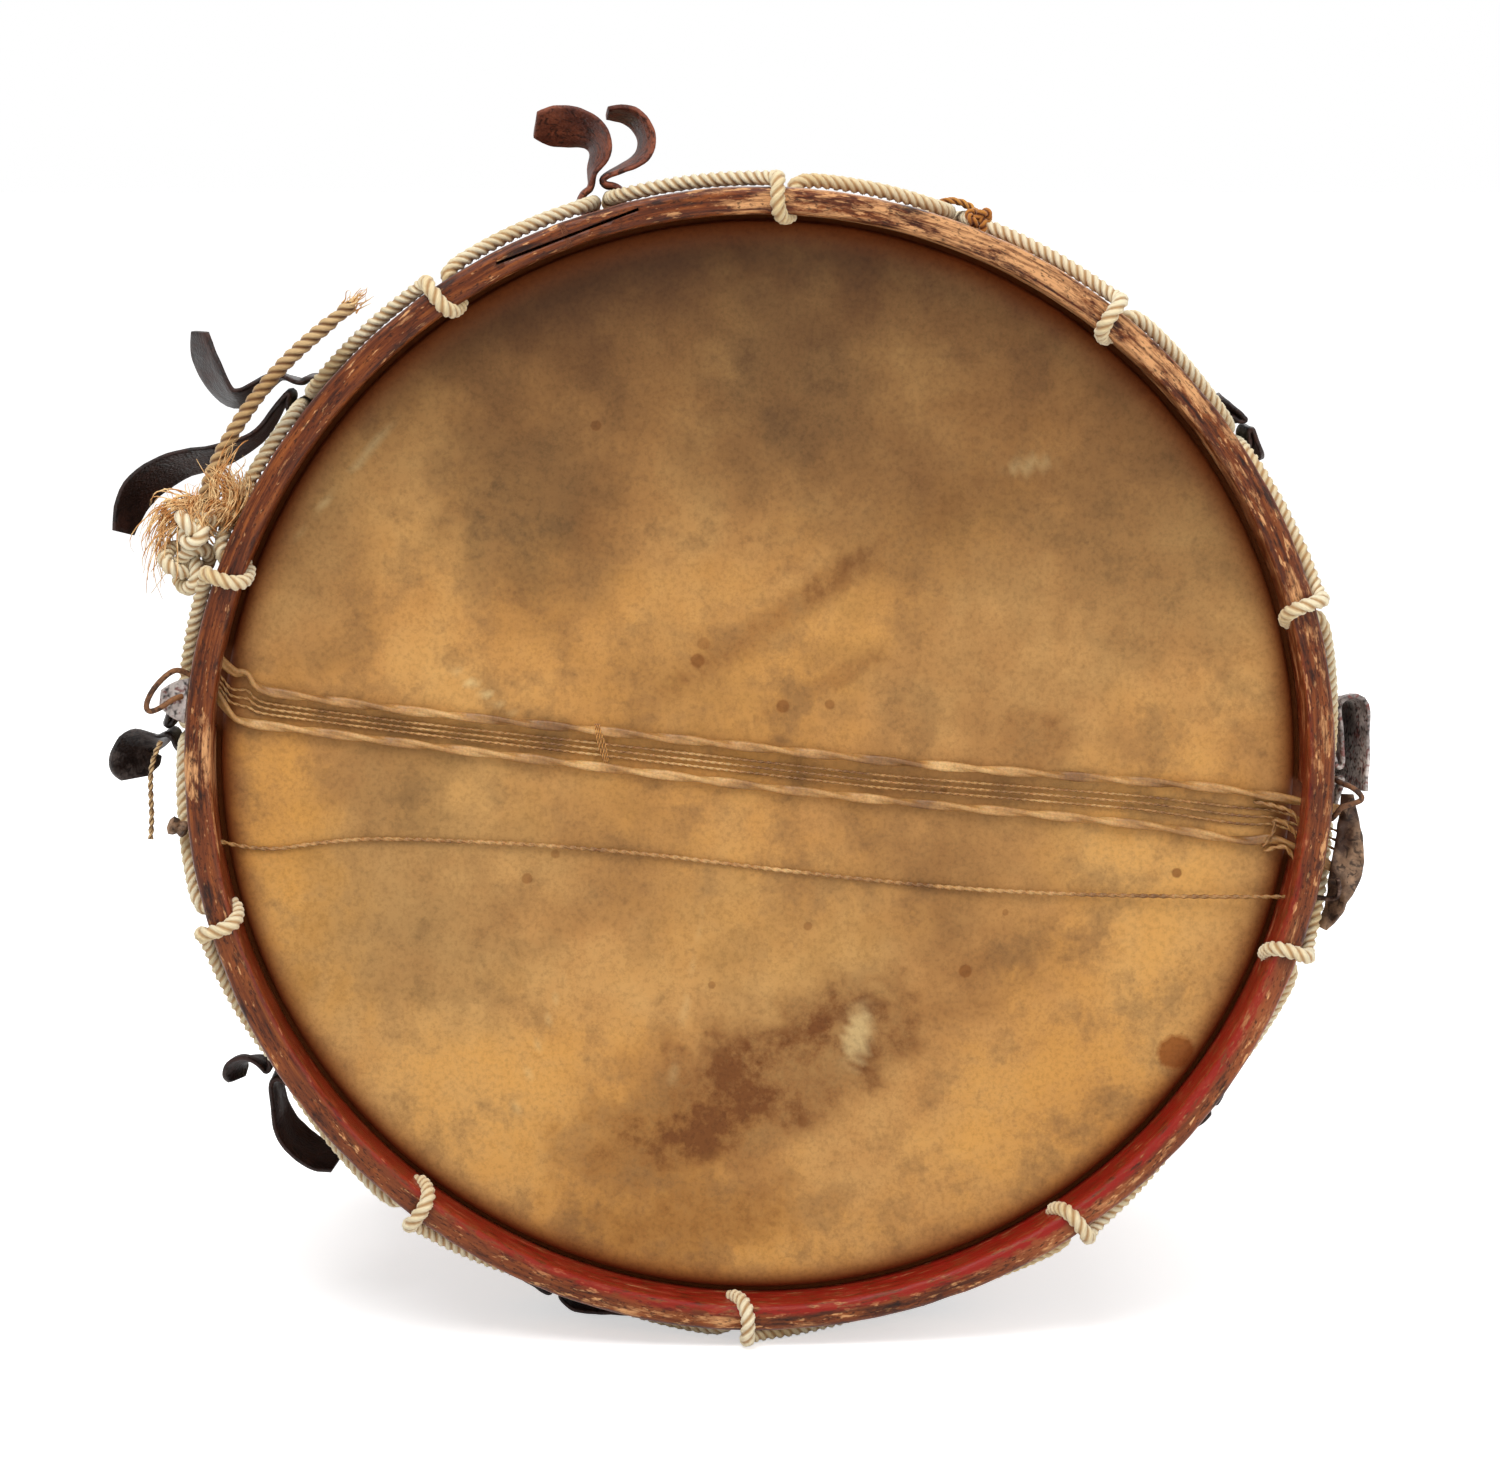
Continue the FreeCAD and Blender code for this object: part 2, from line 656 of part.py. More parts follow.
# one turn of the tie: degrees round a lane, and which lane it passes, -1 for the left and 1 for the right
TIE_TURN = ((30, 1), (90, 1), (90, -1), (150, -1), (210, -1), (270, -1), (270, 1), (330, 1))


def at_ear(angle, sideways, outwards, height):
    """A place counted from the middle of the two lanes that meet in an ear."""
    outward, along = polar(1, angle, 0), polar(1, angle + 90, 0)
    return polar(lane_radius, angle, height) + outward * outwards + along * sideways


def tie_route(angle):
    """Round both lanes again and again, a little lower at each point."""
    route = []
    top = lane_mouth - size("leg_bend_radius") - size("tie_diameter")
    for point, (degrees, lane) in enumerate(TIE_TURN * int(size("tie_turns"))):
        turn = math.radians(degrees)
        sideways = lane * size("lane_spacing") / 2 + tie_radius * math.cos(turn)
        drop = size("tie_pitch") * point / len(TIE_TURN)
        route.append(at_ear(angle, sideways, tie_radius * math.sin(turn), top - drop))
    return route


print(f"tie: least gap to itself {size('tie_pitch') - size('tie_diameter'):.2f}")
kept_shape("rope_tie", cord_solid("tie", tie_route(ear_angles[0]), size("tie_diameter")))


# Knot at the rope's start: an overhand knot, which is a trefoil
def trefoil(turn):
    return Vector(math.sin(turn) + 2 * math.sin(2 * turn),
                  math.cos(turn) - 2 * math.cos(2 * turn),
                  -KNOT_RISE_SHARE * math.sin(3 * turn))


KNOT_RISE_SHARE = 1.35
KNOT_POINTS = 30
knot_reach = size("knot_scale") * KNOT_RISE_SHARE + size("knot_strand_diameter") / 2
knot_radius = size("hoop_outer_radius") + size("rope_gap") + knot_reach
knot_height = rim_height - size("knot_setback")


def knot_route():
    outward, along = polar(1, size("knot_angle"), 0), polar(1, size("knot_angle") + 90, 0)
    centre = polar(knot_radius, size("knot_angle"), knot_height)
    route = []
    for point in range(KNOT_POINTS):
        place = trefoil(2 * math.pi * point / KNOT_POINTS) * size("knot_scale")
        route.append(centre + along * place.x + Vector(0, 0, place.y) + outward * place.z)
    return route


def least_gap(route, diameter, apart):
    """The smallest distance between two points of a route that are far apart along it, less the diameter."""
    near = min((route[first] - route[second]).Length for first in range(len(route))
               for second in range(first + apart, len(route) - apart + min(first, apart)))
    return near - diameter


print(f"knot: least gap to itself {least_gap(knot_route(), size('knot_strand_diameter'), 9):.2f}")
kept_shape("rope_knot", cord_solid("knot", knot_route(), size("knot_strand_diameter")))

# Free tail of the rope, from the knot up past the shoulder of the hoop: (radius, angle, height)
TAIL_ROUTE = [
    (230.6, 159.57, 140.4),
    (238.6, 155.0, 143.2),
    (240.8, 148.6, 143.5),
    (240.5, 141.6, 142.5),
    (238.5, 136.2, 143.0),
    (236.5, 131.4, 144.0),
]


def tangent_route(name, places):
    """Each corner gets the largest arc that its two runs allow. The radii are printed."""
    corners = [(places[0], 0)]
    for before, corner, after in zip(places, places[1:], places[2:]):
        turn = math.pi - (before - corner).getAngle(after - corner)
        shorter = min((corner - before).Length, (after - corner).Length)
        corners.append((corner, ARC_SHARE * shorter / math.tan(turn / 2)))
    corners.append((places[-1], 0))
    print(f"{name}: bend radii", [round(radius) for _, radius in corners[1:-1]])
    return rounded(corners)


ARC_SHARE = 0.45
kept_shape("rope_tail", cord_solid("tail", tangent_route("tail", [polar(*place) for place in TAIL_ROUTE]),
                                   size("rope_diameter")))


# Ears: one leather strap each, folded round two lanes, with its two ends standing out past a narrow neck
def strap_solid(route, widths, twists, thickness):
    """A strap of four-sided sections. Its width lies along the drum, turned about the route by the twist."""
    sections = []
    for number, point in enumerate(route):
        before, after = route[max(number - 1, 0)], route[min(number + 1, len(route) - 1)]
        ahead = (after - before).normalize()
        side = (Vector(0, 0, 1) - ahead * ahead.z).normalize()
        side = Rotation(ahead, twists[number]).multVec(side)
        half_width = side * (widths[number] / 2)
        half_thick = ahead.cross(side) * (thickness / 2)
        corners = [point + half_width + half_thick, point + half_width - half_thick,
                   point - half_width - half_thick, point - half_width + half_thick]
        sections.append(corners)
    return faceted_solid(sections)


# One row for each ear, counted clockwise from the tie. An end is (length share, way, heading towards the
# snare side, twist). Its way is a list of (share of its length, heading in degrees from straight outwards).
# The first end leaves the neck on its clockwise side and the second on the other. A tucked end lies flat.
TUCKED_SHARES = ((0, 85), (0.3, 106), (1, 98))
TUCKED_BACK_SHARES = ((0, -85), (0.3, -106), (1, -98))
EAR_END_SHARES = {
    "ear_1": ((0.35, TUCKED_BACK_SHARES, 0, 0), (0.35, TUCKED_SHARES, 0, 0)),
    "ear_2": ((0.4, TUCKED_BACK_SHARES, 0, 0),
              (1.9, ((0, 78), (0.34, 100), (0.53, -85), (1, -96)), 4, -24)),
    "ear_3": ((0.45, TUCKED_BACK_SHARES, 0, 0), (0.45, TUCKED_SHARES, 0, 0)),
    "ear_4": ((0.5, TUCKED_BACK_SHARES, 0, 0), (0.6, TUCKED_SHARES, 0, 0)),
    "ear_5": ((0.5, TUCKED_BACK_SHARES, 0, 0), (2.0, ((0, 50), (0.3, 80), (1, 108)), 24, 0)),
    "ear_6": ((0.55, ((0, -70), (0.4, -50), (0.7, 30), (1, 80)), 4, 20),
              (1.2, ((0, 60), (0.3, 66), (0.55, 98), (0.8, 114), (1, 126)), 8, 20)),
    "ear_7": ((0.3, TUCKED_BACK_SHARES, 0, 0),
              (0.98, ((0, 92), (0.22, 75), (0.3, 10), (0.42, 10), (0.55, 80), (0.85, 110), (1, 190)), 4, 24)),
    "ear_8": ((1.5, ((0, 0), (0.08, 12), (0.18, 76), (0.34, 76), (0.46, 45), (0.56, -15), (0.8, -32),
                     (1, -50)), 6, 30),
              (2.35, ((0, 85), (0.15, 112), (0.25, 66), (0.6, 47), (0.8, 90), (1, 128)), 6, 34)),
    "ear_9": ((1.35, ((0, -90), (0.34, -114), (0.46, -62), (0.6, -36), (0.78, 35), (1, 95)), 6, 18),
              (1.25, ((0, -5), (0.08, -16), (0.17, -88), (0.32, -84), (0.44, 0), (0.6, 60), (1, 76)),
               10, 44)),
}
END_WIDTH_SHARES = (0.96, 1.0, 1.0, 0.97, 0.92, 0.84, 0.68, 0.38)
LOOP_WIDTH_SHARE = 0.92
strap_half = size("ear_thickness") / 2
loop_across = size("lane_spacing") / 2 + rope_radius + size("clearance") + strap_half
loop_out = rope_radius + size("clearance") + strap_half
neck_half = strap_half + size("ear_neck_gap") / 2
bend = loop_out * 0.62


def heading_at(way, share):
    """The heading at a share of the end's length, between the two that the way gives on either side."""
    for (start, first), (stop, last) in zip(way, way[1:]):
        if share <= stop:
            return first + (last - first) * (share - start) / (stop - start)


def ear_end(angle, side, end):
    """The places, widths and twists of one loose end, from the neck to the tip."""
    length_share, way, forward, twist = end
    step = size("ear_end_length") * length_share / len(END_WIDTH_SHARES)
    place = at_ear(angle, side * neck_half, loop_out + bend, ear_height)
    outward, along = polar(1, angle, 0), polar(1, angle + 90, 0)
    places, widths, twists = [], [], []
    for number, width_share in enumerate(END_WIDTH_SHARES):
        share = (number + 1) / len(END_WIDTH_SHARES)
        turn = math.radians(heading_at(way, share - 1 / 2 / len(END_WIDTH_SHARES)))
        ahead = math.radians(forward * share)
        place = place + ((outward * math.cos(turn) + along * math.sin(turn)) * math.cos(ahead)
                         + Vector(0, 0, math.sin(ahead))) * step
        ground = ground_height(place.z) + strap_half + size("ear_width") * math.tan(lean)
        places.append(Vector(place.x, max(place.y, ground + size("ear_ground_gap")), place.z))
        widths.append(size("ear_width") * width_share)
        twists.append(side * twist * share)
    return places, widths, twists


def ear(angle, first_end, second_end):
    """The strap: in along its first end, round the two lanes, and out along the second."""
    loop = [(neck_half, loop_out + bend), (neck_half + bend / 2, loop_out), (loop_across - bend, loop_out),
            (loop_across, loop_out - bend), (loop_across, bend - loop_out), (loop_across - bend, -loop_out)]
    loop = [(-across, out) for across, out in loop] + loop[::-1]
    places, widths, twists = ear_end(angle, -1, first_end)
    route = places[::-1] + [at_ear(angle, across, out, ear_height) for across, out in loop]
    after, after_widths, after_twists = ear_end(angle, 1, second_end)
    loop_widths = [size("ear_width") * LOOP_WIDTH_SHARE] * len(loop)
    return strap_solid(route + after, widths[::-1] + loop_widths + after_widths,
                       twists[::-1] + [0] * len(loop) + after_twists, size("ear_thickness"))


for (label, ends), angle in zip(EAR_END_SHARES.items(), ear_angles[1:]):
    kept_shape(label, ear(angle, *ends))

# Frayed thong that hangs from the left ear: (sideways, outwards, height above the ear's front edge)
THONG_ROUTE = [
    (4.0, 9.5, 3.0),
    (9.0, 12.0, 3.2),
    (17.0, 13.4, 3.0),
    (26.0, 13.0, 2.8),
    (35.0, 12.2, 3.0),
    (43.0, 12.6, 3.0),
]
ear_front = ear_height + size("ear_width") * LOOP_WIDTH_SHARE / 2
thong_places = [at_ear(ear_angles[7], sideways, outwards, ear_front + above)
                for sideways, outwards, above in THONG_ROUTE]
kept_shape("ear_thong", cord_solid("thong", tangent_route("thong", thong_places), size("lace_diameter")))

# Snares: gut strands in two twisted pairs, thin ones between them, and one that came loose
def strand(name, shares, shift, diameter):
    return cord_solid(name, snare_route(shares, shift, diameter), diameter)


def level(shares, across):
    """How high a pair runs at a place across the drum."""
    for (left, start), (right, stop) in zip(shares, shares[1:]):
        if across <= right:
            return start + (stop - start) * (across - left) / (right - left)


def between(share):
    """The shares of a strand that keeps its place between the two pairs."""
    stations = sorted({across for across, _ in UPPER_SNARE_SHARES + LOWER_SNARE_SHARES})
    heights = [(level(UPPER_SNARE_SHARES, across), level(LOWER_SNARE_SHARES, across)) for across in stations]
    return [(across, upper * (1 - share) + lower * share)
            for across, (upper, lower) in zip(stations, heights)]


pair_half = (thick + size("snare_lift")) / 2
for label, shares in (("snare_upper", UPPER_SNARE_SHARES), ("snare_lower", LOWER_SNARE_SHARES)):
    kept_shape(label, Part.makeCompound(
        [strand(label, shares, side * pair_half, thick) for side in (1, -1)]))
kept_shape("snare_fine", Part.makeCompound(
    [strand("snare_fine", between(share), 0, thin) for share in FINE_SNARE_SHARES]))
kept_shape("snare_loose", cord_solid("snare_loose", loose_route, thin))


# What holds the snares: leathers outside the two gates, with a lace round each, a knot and a wire hook
def plate_solid(stations, thickness):
    """A piece of leather through stations of (middle, half width): it is thick along the drum's axis."""
    sections = []
    for middle, half_width in stations:
        lift = Vector(0, 0, thickness / 2)
        sections.append([middle - half_width - lift, middle + half_width - lift,
                         middle + half_width + lift, middle - half_width + lift])
    return faceted_solid(sections)


outside_hoop = size("hoop_outer_radius") + 2 * size("clearance")
leather_height = snare_floor + thick / 2
TAB_WIDTH_SHARES = (1.0, 0.92, 0.62, 0.24)
TAB_LENGTH_SHARES = (0.0, 0.35, 0.72, 1.0)
left_along = polar(1, size("left_gate_angle") + 90, 0)
kept_shape("snare_tab", plate_solid([
    (polar(left_reach + 3 * size("clearance") + size("tab_length") * length, size("left_gate_angle"),
           leather_height + size("tab_rise")), left_along * (size("tab_width") / 2 * width))
    for length, width in zip(TAB_LENGTH_SHARES, TAB_WIDTH_SHARES)], size("anchor_thickness")))


def lace(name, angle, loop_shares, height):
    """A lace laid round the front of a leather, as shares of its (width, reach)."""
    out, along = polar(1, angle, 0), polar(1, angle + 90, 0)
    places = [polar(outside_hoop, angle, height) + along * (size("tab_width") * across)
              + out * (size("tab_length") * reach) for across, reach in loop_shares]
    corners = [(place, size("lace_diameter")) for place in places[1:-1]]
    return cord_solid(name, rounded([(places[0], 0), *corners, (places[-1], 0)]), size("lace_diameter"))


lace_height = leather_height + size("tab_rise") + (size("anchor_thickness") + size("lace_diameter")) / 2 \
    + size("clearance")
LEFT_LACE_SHARES = ((-0.42, 0.10), (-0.34, 0.62), (0.02, 1.12), (0.16, 0.70), (0.24, 0.10))
RIGHT_LACE_SHARES = ((0.46, 0.10), (0.40, 0.55), (0.10, 1.05), (-0.02, 0.60), (-0.05, 0.10))
kept_shape("tab_lace", lace("tab lace", size("left_gate_angle"), LEFT_LACE_SHARES, lace_height))

# butt leather: one strip folded down along the hoop, outside the rope
BUTT_ANGLE_SHARES = (0.0, 0.22, 0.5, 0.78, 1.0)
BUTT_BULGE_SHARES = (0.0, 0.55, 1.0, 0.7, 0.1)
BUTT_WIDTH_SHARES = (0.55, 0.9, 1.0, 0.85, 0.4)
butt_radius = leg_radius + rope_radius + size("clearance") + size("butt_thickness") / 2
butt_route = [polar(butt_radius + size("butt_bulge") * bulge,
                    size("butt_start_angle") - size("butt_sweep") * share, leather_height + size("butt_rise"))
              for share, bulge in zip(BUTT_ANGLE_SHARES, BUTT_BULGE_SHARES)]
butt_widths = [size("butt_width") * share for share in BUTT_WIDTH_SHARES]
kept_shape("butt_leather", strap_solid(butt_route, butt_widths, [0] * len(butt_route),
                                       size("butt_thickness")))
butt_lace_height = leather_height + size("butt_rise") + (size("butt_width") + size("lace_diameter")) / 2 \
    + size("clearance")
kept_shape("butt_lace", lace("butt lace", size("right_gate_angle"), RIGHT_LACE_SHARES, butt_lace_height))

# knot at the left end of the loose snare, outside the hoop, and the wire hook at its right end
KNOT_LENGTH_SHARES = (0.0, 0.18, 0.5, 0.82, 1.0)
KNOT_GIRTH_SHARES = (0.5, 0.9, 1.0, 0.85, 0.4)
knot_ahead = (loose_route[0] - loose_route[1]).normalize()
kept_shape("snare_knot", cord_solid(
    "snare knot", [loose_route[0] + knot_ahead * (size("clearance") + size("snare_knot_length") * share)
                   for share in KNOT_LENGTH_SHARES],
    size("snare_knot_diameter"), girth_shares=KNOT_GIRTH_SHARES))
# places of the wire's corners from the strand's end: shares of its reach outwards, round the hoop and up
HOOK_PLACE_SHARES = ((0.0, 0.0, 0.0), (1.0, 0.0, 0.0), (1.3, 0.55, 0.55), (0.85, 1.35, 0.95))
hook_out = polar(1, math.degrees(math.atan2(loose_route[-1].y, loose_route[-1].x)), 0)
hook_along = Vector(0, 0, 1).cross(hook_out)
hook_places = [loose_route[-1] + hook_out * (size("clearance") + size("hook_reach") * out)
               + hook_along * (size("hook_reach") * along) + Vector(0, 0, size("hook_reach") * up)
               for out, along, up in HOOK_PLACE_SHARES]
kept_shape("snare_hook", cord_solid("hook", rounded(
    [(hook_places[0], 0), (hook_places[1], size("hook_bend_radius")),
     (hook_places[2], size("hook_bend_radius")), (hook_places[3], 0)]), size("hook_wire_diameter")))

# fibre tie across the upper snares
TIE_ACROSS_SHARES = (-0.270, -0.280)
TIE_UP_SHARES = (0.076, 0.006)
tie_height = snare_floor + thick + size("clearance") + size("tie_diameter") / 2
kept_shape("snare_tie", cord_solid("snare tie", [
    Vector(across * size("hoop_inner_radius"), up * size("hoop_inner_radius"), tie_height)
    for across, up in zip(TIE_ACROSS_SHARES, TIE_UP_SHARES)], size("tie_diameter")))


# Write every sub-part where it lies, once all of them are sound
doc.recompute()
for item in doc.Objects:
    if any(word in state for state in item.State for word in ("Invalid", "Error")):
        raise RuntimeError(f"{item.Name} is {item.State}")
for item, placement in subparts:
    item.Placement = LAID_DOWN.multiply(placement)
doc.recompute()
os.makedirs("parts", exist_ok=True)
whole = FreeCAD.BoundBox()
for item, _ in subparts:
    if item.Shape.isNull() or not item.Shape.isValid():
        raise RuntimeError(f"{item.Label} has no valid shape")
    whole.add(item.Shape.BoundBox)
    item.Shape.exportStep(f"parts/{item.Label}.step")
print(f"{len(subparts)} sub-parts, box {whole}")
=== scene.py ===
# %% [markdown]
# A rope-tensioned side drum lies on its side, with its snare head towards us. This lesson dresses the packed
# CAD model of it: each soft or worn piece is rebuilt as a fine surface, and every surface gets a finish made
# of nodes. The CAD model stays the frame, so nothing here is fitted by eye.

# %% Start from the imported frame
import math

import bmesh
import bpy
import numpy as np
from mathutils import Euler, Matrix, Vector


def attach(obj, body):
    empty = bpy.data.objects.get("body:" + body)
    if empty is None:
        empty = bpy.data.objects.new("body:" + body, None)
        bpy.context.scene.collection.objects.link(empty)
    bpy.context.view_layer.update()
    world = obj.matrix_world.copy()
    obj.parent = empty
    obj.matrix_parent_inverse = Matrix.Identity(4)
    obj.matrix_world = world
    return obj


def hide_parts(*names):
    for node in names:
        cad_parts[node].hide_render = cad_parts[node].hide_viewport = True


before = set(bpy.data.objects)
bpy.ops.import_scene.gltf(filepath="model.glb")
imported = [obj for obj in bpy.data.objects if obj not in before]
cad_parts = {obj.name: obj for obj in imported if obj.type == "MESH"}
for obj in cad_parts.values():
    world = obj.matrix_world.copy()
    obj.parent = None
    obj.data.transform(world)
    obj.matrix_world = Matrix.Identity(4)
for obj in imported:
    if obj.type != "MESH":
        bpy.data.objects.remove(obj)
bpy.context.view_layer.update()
MM = 0.001
def added(name, data):
    """An object of this data, put into the scene."""
    made = bpy.data.objects.new(name, data)
    bpy.context.scene.collection.objects.link(made)
    return made


# %% [markdown]
# The drum is easiest to describe standing up: its axis is w, the snare head is on top, and angles are counted
# as seen from there. One function lays such places down, exactly as the CAD source does: a quarter turn, a
# lift, and a small lean because the rope holds the front hoop off the ground.

# %% From the upright drum to the ground
SHELL_RADIUS, HALF_SHELL = 208.0, 145.0
SKIN = 0.8
RIM_HEIGHT, RIM_ROUND = 165.0, 2.5
HOOP_OUTER, HOOP_INNER, HOOP_FOOT = 222.0, 211.5, 123.0
ROPE_RADIUS = 3.1
LANE_RADIUS = 225.4
LYING_DEPTH = 228.8
GAP = 0.3  # between pieces that touch on a real drum
LEAN = math.atan2(LYING_DEPTH - HOOP_OUTER, 2 * RIM_HEIGHT - RIM_ROUND)
SHIFT = RIM_HEIGHT * math.cos(LEAN) + LYING_DEPTH * math.sin(LEAN)
UP = np.array((0, 0, 1.0))


def laid(points):
    """Places (x, y, w) of the upright drum in mm, as places in the scene in metres."""
    x, y, w = np.moveaxis(np.asarray(points, float), -1, 0)
    back, up = RIM_HEIGHT - w, y + LYING_DEPTH
    return np.stack([x, back * math.cos(LEAN) + up * math.sin(LEAN) - SHIFT,
                     up * math.cos(LEAN) - back * math.sin(LEAN)], -1) * MM


def stood(points):
    """The way back: places in the scene in metres, as places of the upright drum in mm."""
    x, y, z = np.moveaxis(np.asarray(points, float) / MM, -1, 0)
    back = (y + SHIFT) * math.cos(LEAN) - z * math.sin(LEAN)
    up = (y + SHIFT) * math.sin(LEAN) + z * math.cos(LEAN)
    return np.stack([x, up - LYING_DEPTH, RIM_HEIGHT - back], -1)


def polar(radius, angle, height):
    """Radius, angle in degrees and height as a place (x, y, w). Each may be an array."""
    radius, angle, height = np.broadcast_arrays(*(np.asarray(v, float) for v in (radius, angle, height)))
    turn = np.radians(angle)
    return np.stack([radius * np.cos(turn), radius * np.sin(turn), height], -1)


def turned_over(places):
    """The batter side is the snare side, half a turn about the x axis."""
    return np.asarray(places, float) * (1, -1, -1)
def unit(ways):
    """Ways made one long."""
    return ways / np.linalg.norm(ways, axis=-1, keepdims=True)


# %% [markdown]
# The camera comes first, because everything is judged through it. The drum's own axis runs to a vanishing
# point up and to the left of the middle, which gives the camera's heading and tilt. The hoop's size in the
# picture then gives its distance.

# %% Camera
PICTURE = (1500, 1474)
FOCAL_PIXELS = 4525
SENSOR = 36.0
VANISHING = (592, 237)
HOOP_CENTRE = (762.3, 767.1)
PIXELS_PER_MM = 2.598

middle = (PICTURE[0] / 2, PICTURE[1] / 2)
heading = math.asin((middle[0] - VANISHING[0]) / FOCAL_PIXELS)
tilt = math.atan((middle[1] - VANISHING[1]) / FOCAL_PIXELS) + LEAN
forward = Vector((math.sin(heading) * math.cos(tilt), math.cos(heading) * math.cos(tilt), -math.sin(tilt)))
right = Vector((math.cos(heading), -math.sin(heading), 0))
upward = right.cross(forward)
aim = (forward + right * ((HOOP_CENTRE[0] - middle[0]) / FOCAL_PIXELS)
       + upward * ((middle[1] - HOOP_CENTRE[1]) / FOCAL_PIXELS))
distance = FOCAL_PIXELS / PIXELS_PER_MM * MM
front_centre = Vector(laid((0, 0, RIM_HEIGHT)))
camera = added("camera", bpy.data.cameras.new("camera"))
camera.data.sensor_width = SENSOR
camera.data.lens = FOCAL_PIXELS / PICTURE[0] * SENSOR
camera.matrix_world = Matrix.Translation(front_centre - aim * distance) @ Matrix(
    (right, upward, -forward)).transposed().to_4x4()
bpy.context.scene.camera = camera
print(f"lens {camera.data.lens:.1f} mm, camera at {tuple(round(v, 3) for v in camera.matrix_world.translation)}")

# %% [markdown]
# A finish is a graph of nodes. Each method below adds one node and gives back its output, so that a finish
# reads like a sum: noise through a ramp, mixed into the shade so far. Colours are written as hex, which is how
# the eye picks them, and are turned to linear light once.

# %% Colours and nodes


def linear(hex_colour):
    """#RRGGBB to linear red, green, blue and alpha: the sRGB curve undone."""
    channels = [int(hex_colour[i:i + 2], 16) / 255 for i in (1, 3, 5)]
    return [c / 12.92 if c <= 0.04045 else ((c + 0.055) / 1.055) ** 2.4 for c in channels] + [1.0]


class Graph:
    def __init__(self, owner, shader, **values):
        """The nodes of a material or world, and its shader. values are the shader's sockets."""
        owner.use_nodes = True
        self.owner, self.tree = owner, owner.node_tree
        self.shader = self.fed(self.tree.nodes[shader], {key.replace("_", " "): v for key, v in values.items()})

    def fed(self, made, links):
        """Gives a node its inputs, by name or number, as values or as other nodes' outputs."""
        for key, value in links.items():
            if isinstance(value, bpy.types.NodeSocket):
                self.tree.links.new(value, made.inputs[key])
            else:
                made.inputs[key].default_value = linear(value) if isinstance(value, str) else value
        return made

    def node(self, kind, links=(), **settings):
        made = self.tree.nodes.new("ShaderNode" + kind)
        for key, setting in settings.items():
            setattr(made, key, setting)
        return self.fed(made, dict(links))

    def place(self, kind="Object"):
        return self.node("TexCoord").outputs[kind]

    def value(self, name):
        """A number that the mesh stores for each vertex."""
        return self.node("Attribute", attribute_name=name).outputs["Fac"]

    def noise(self, place, scale, detail=2.0, roughness=0.5, distortion=0.0):
        """Layered noise. A scale of three numbers draws it out along the axes."""
        if isinstance(scale, tuple):
            place, scale = self.node("Mapping", {0: place, "Scale": scale}).outputs[0], 1.0
        return self.node("TexNoise", {0: place, "Scale": scale, "Detail": detail, "Roughness": roughness,
                                      "Distortion": distortion}).outputs[0]

    def math(self, operation, *values, clamp=False):
        return self.node("Math", enumerate(values), operation=operation, use_clamp=clamp).outputs[0]

    def remap(self, value, *limits):
        """A value's range from low and high to another low and high."""
        return self.node("MapRange", enumerate((value, *limits))).outputs[0]

    def ramp(self, value, *stops):
        """A value through stops of (place, colour or grey)."""
        made = self.node("ValToRGB", {0: value})
        elements = made.color_ramp.elements
        for number, (place, shade) in enumerate(stops):
            stop = elements[number] if number < len(elements) else elements.new(place)
            stop.position = place
            stop.color = linear(shade) if isinstance(shade, str) else (shade, shade, shade, 1)
        return made.outputs[0]

    def mixed(self, share, low, high, kind="MIX"):
        """Two colours mixed by a share."""
        return self.node("Mix", {0: share, 6: low, 7: high}, data_type="RGBA", blend_type=kind).outputs[2]

    def bump(self, height, strength, distance, under=None):
        links = {"Height": height, "Strength": strength, "Distance": distance}
        return self.node("Bump", links | ({"Normal": under} if under else {})).outputs[0]

    def seen(self):
        """1 for what the camera sees, straight or in a reflection or through glass, 0 for light on its way."""
        rays = self.node("LightPath").outputs
        return self.math("MAXIMUM", self.math("MAXIMUM", rays["Is Camera Ray"], rays["Is Glossy Ray"]),
                         rays["Is Transmission Ray"])

    def surface(self, colour, bump=None, roughness=None):
        """Links the colour, and where they are given the bump and roughness. Returns the material."""
        links = {"Base Color": colour, "Normal": bump, "Roughness": roughness}
        self.fed(self.shader, {key: value for key, value in links.items() if value is not None})
        return self.owner


def finish(name, **values):
    return Graph(bpy.data.materials.new(name), "Principled BSDF", **values)


def speckled(name, scale, detail, *stops, bump=None, **values):
    """A finish of one noise through one ramp, and with bump, its strength and depth, a little relief."""
    made = finish(name, **values)
    tone = made.noise(made.place(), scale, detail)
    return made.surface(made.ramp(tone, *stops), made.bump(tone, *bump) if bump else None)


# %% [markdown]
# Every new piece is a grid of places: one parameter goes round or across it, the other along it. The mesh is
# closed and its faces point outwards, which the sign of its volume tells.

# %% From a grid of places to a mesh


def as_object(name, vertices, faces, smooth=True):
    mesh = bpy.data.meshes.new(name)
    mesh.from_pydata(vertices, [], faces)
    mesh.polygons.foreach_set("use_smooth", np.full(len(mesh.polygons), smooth))
    mesh.update()
    return added(name, mesh)


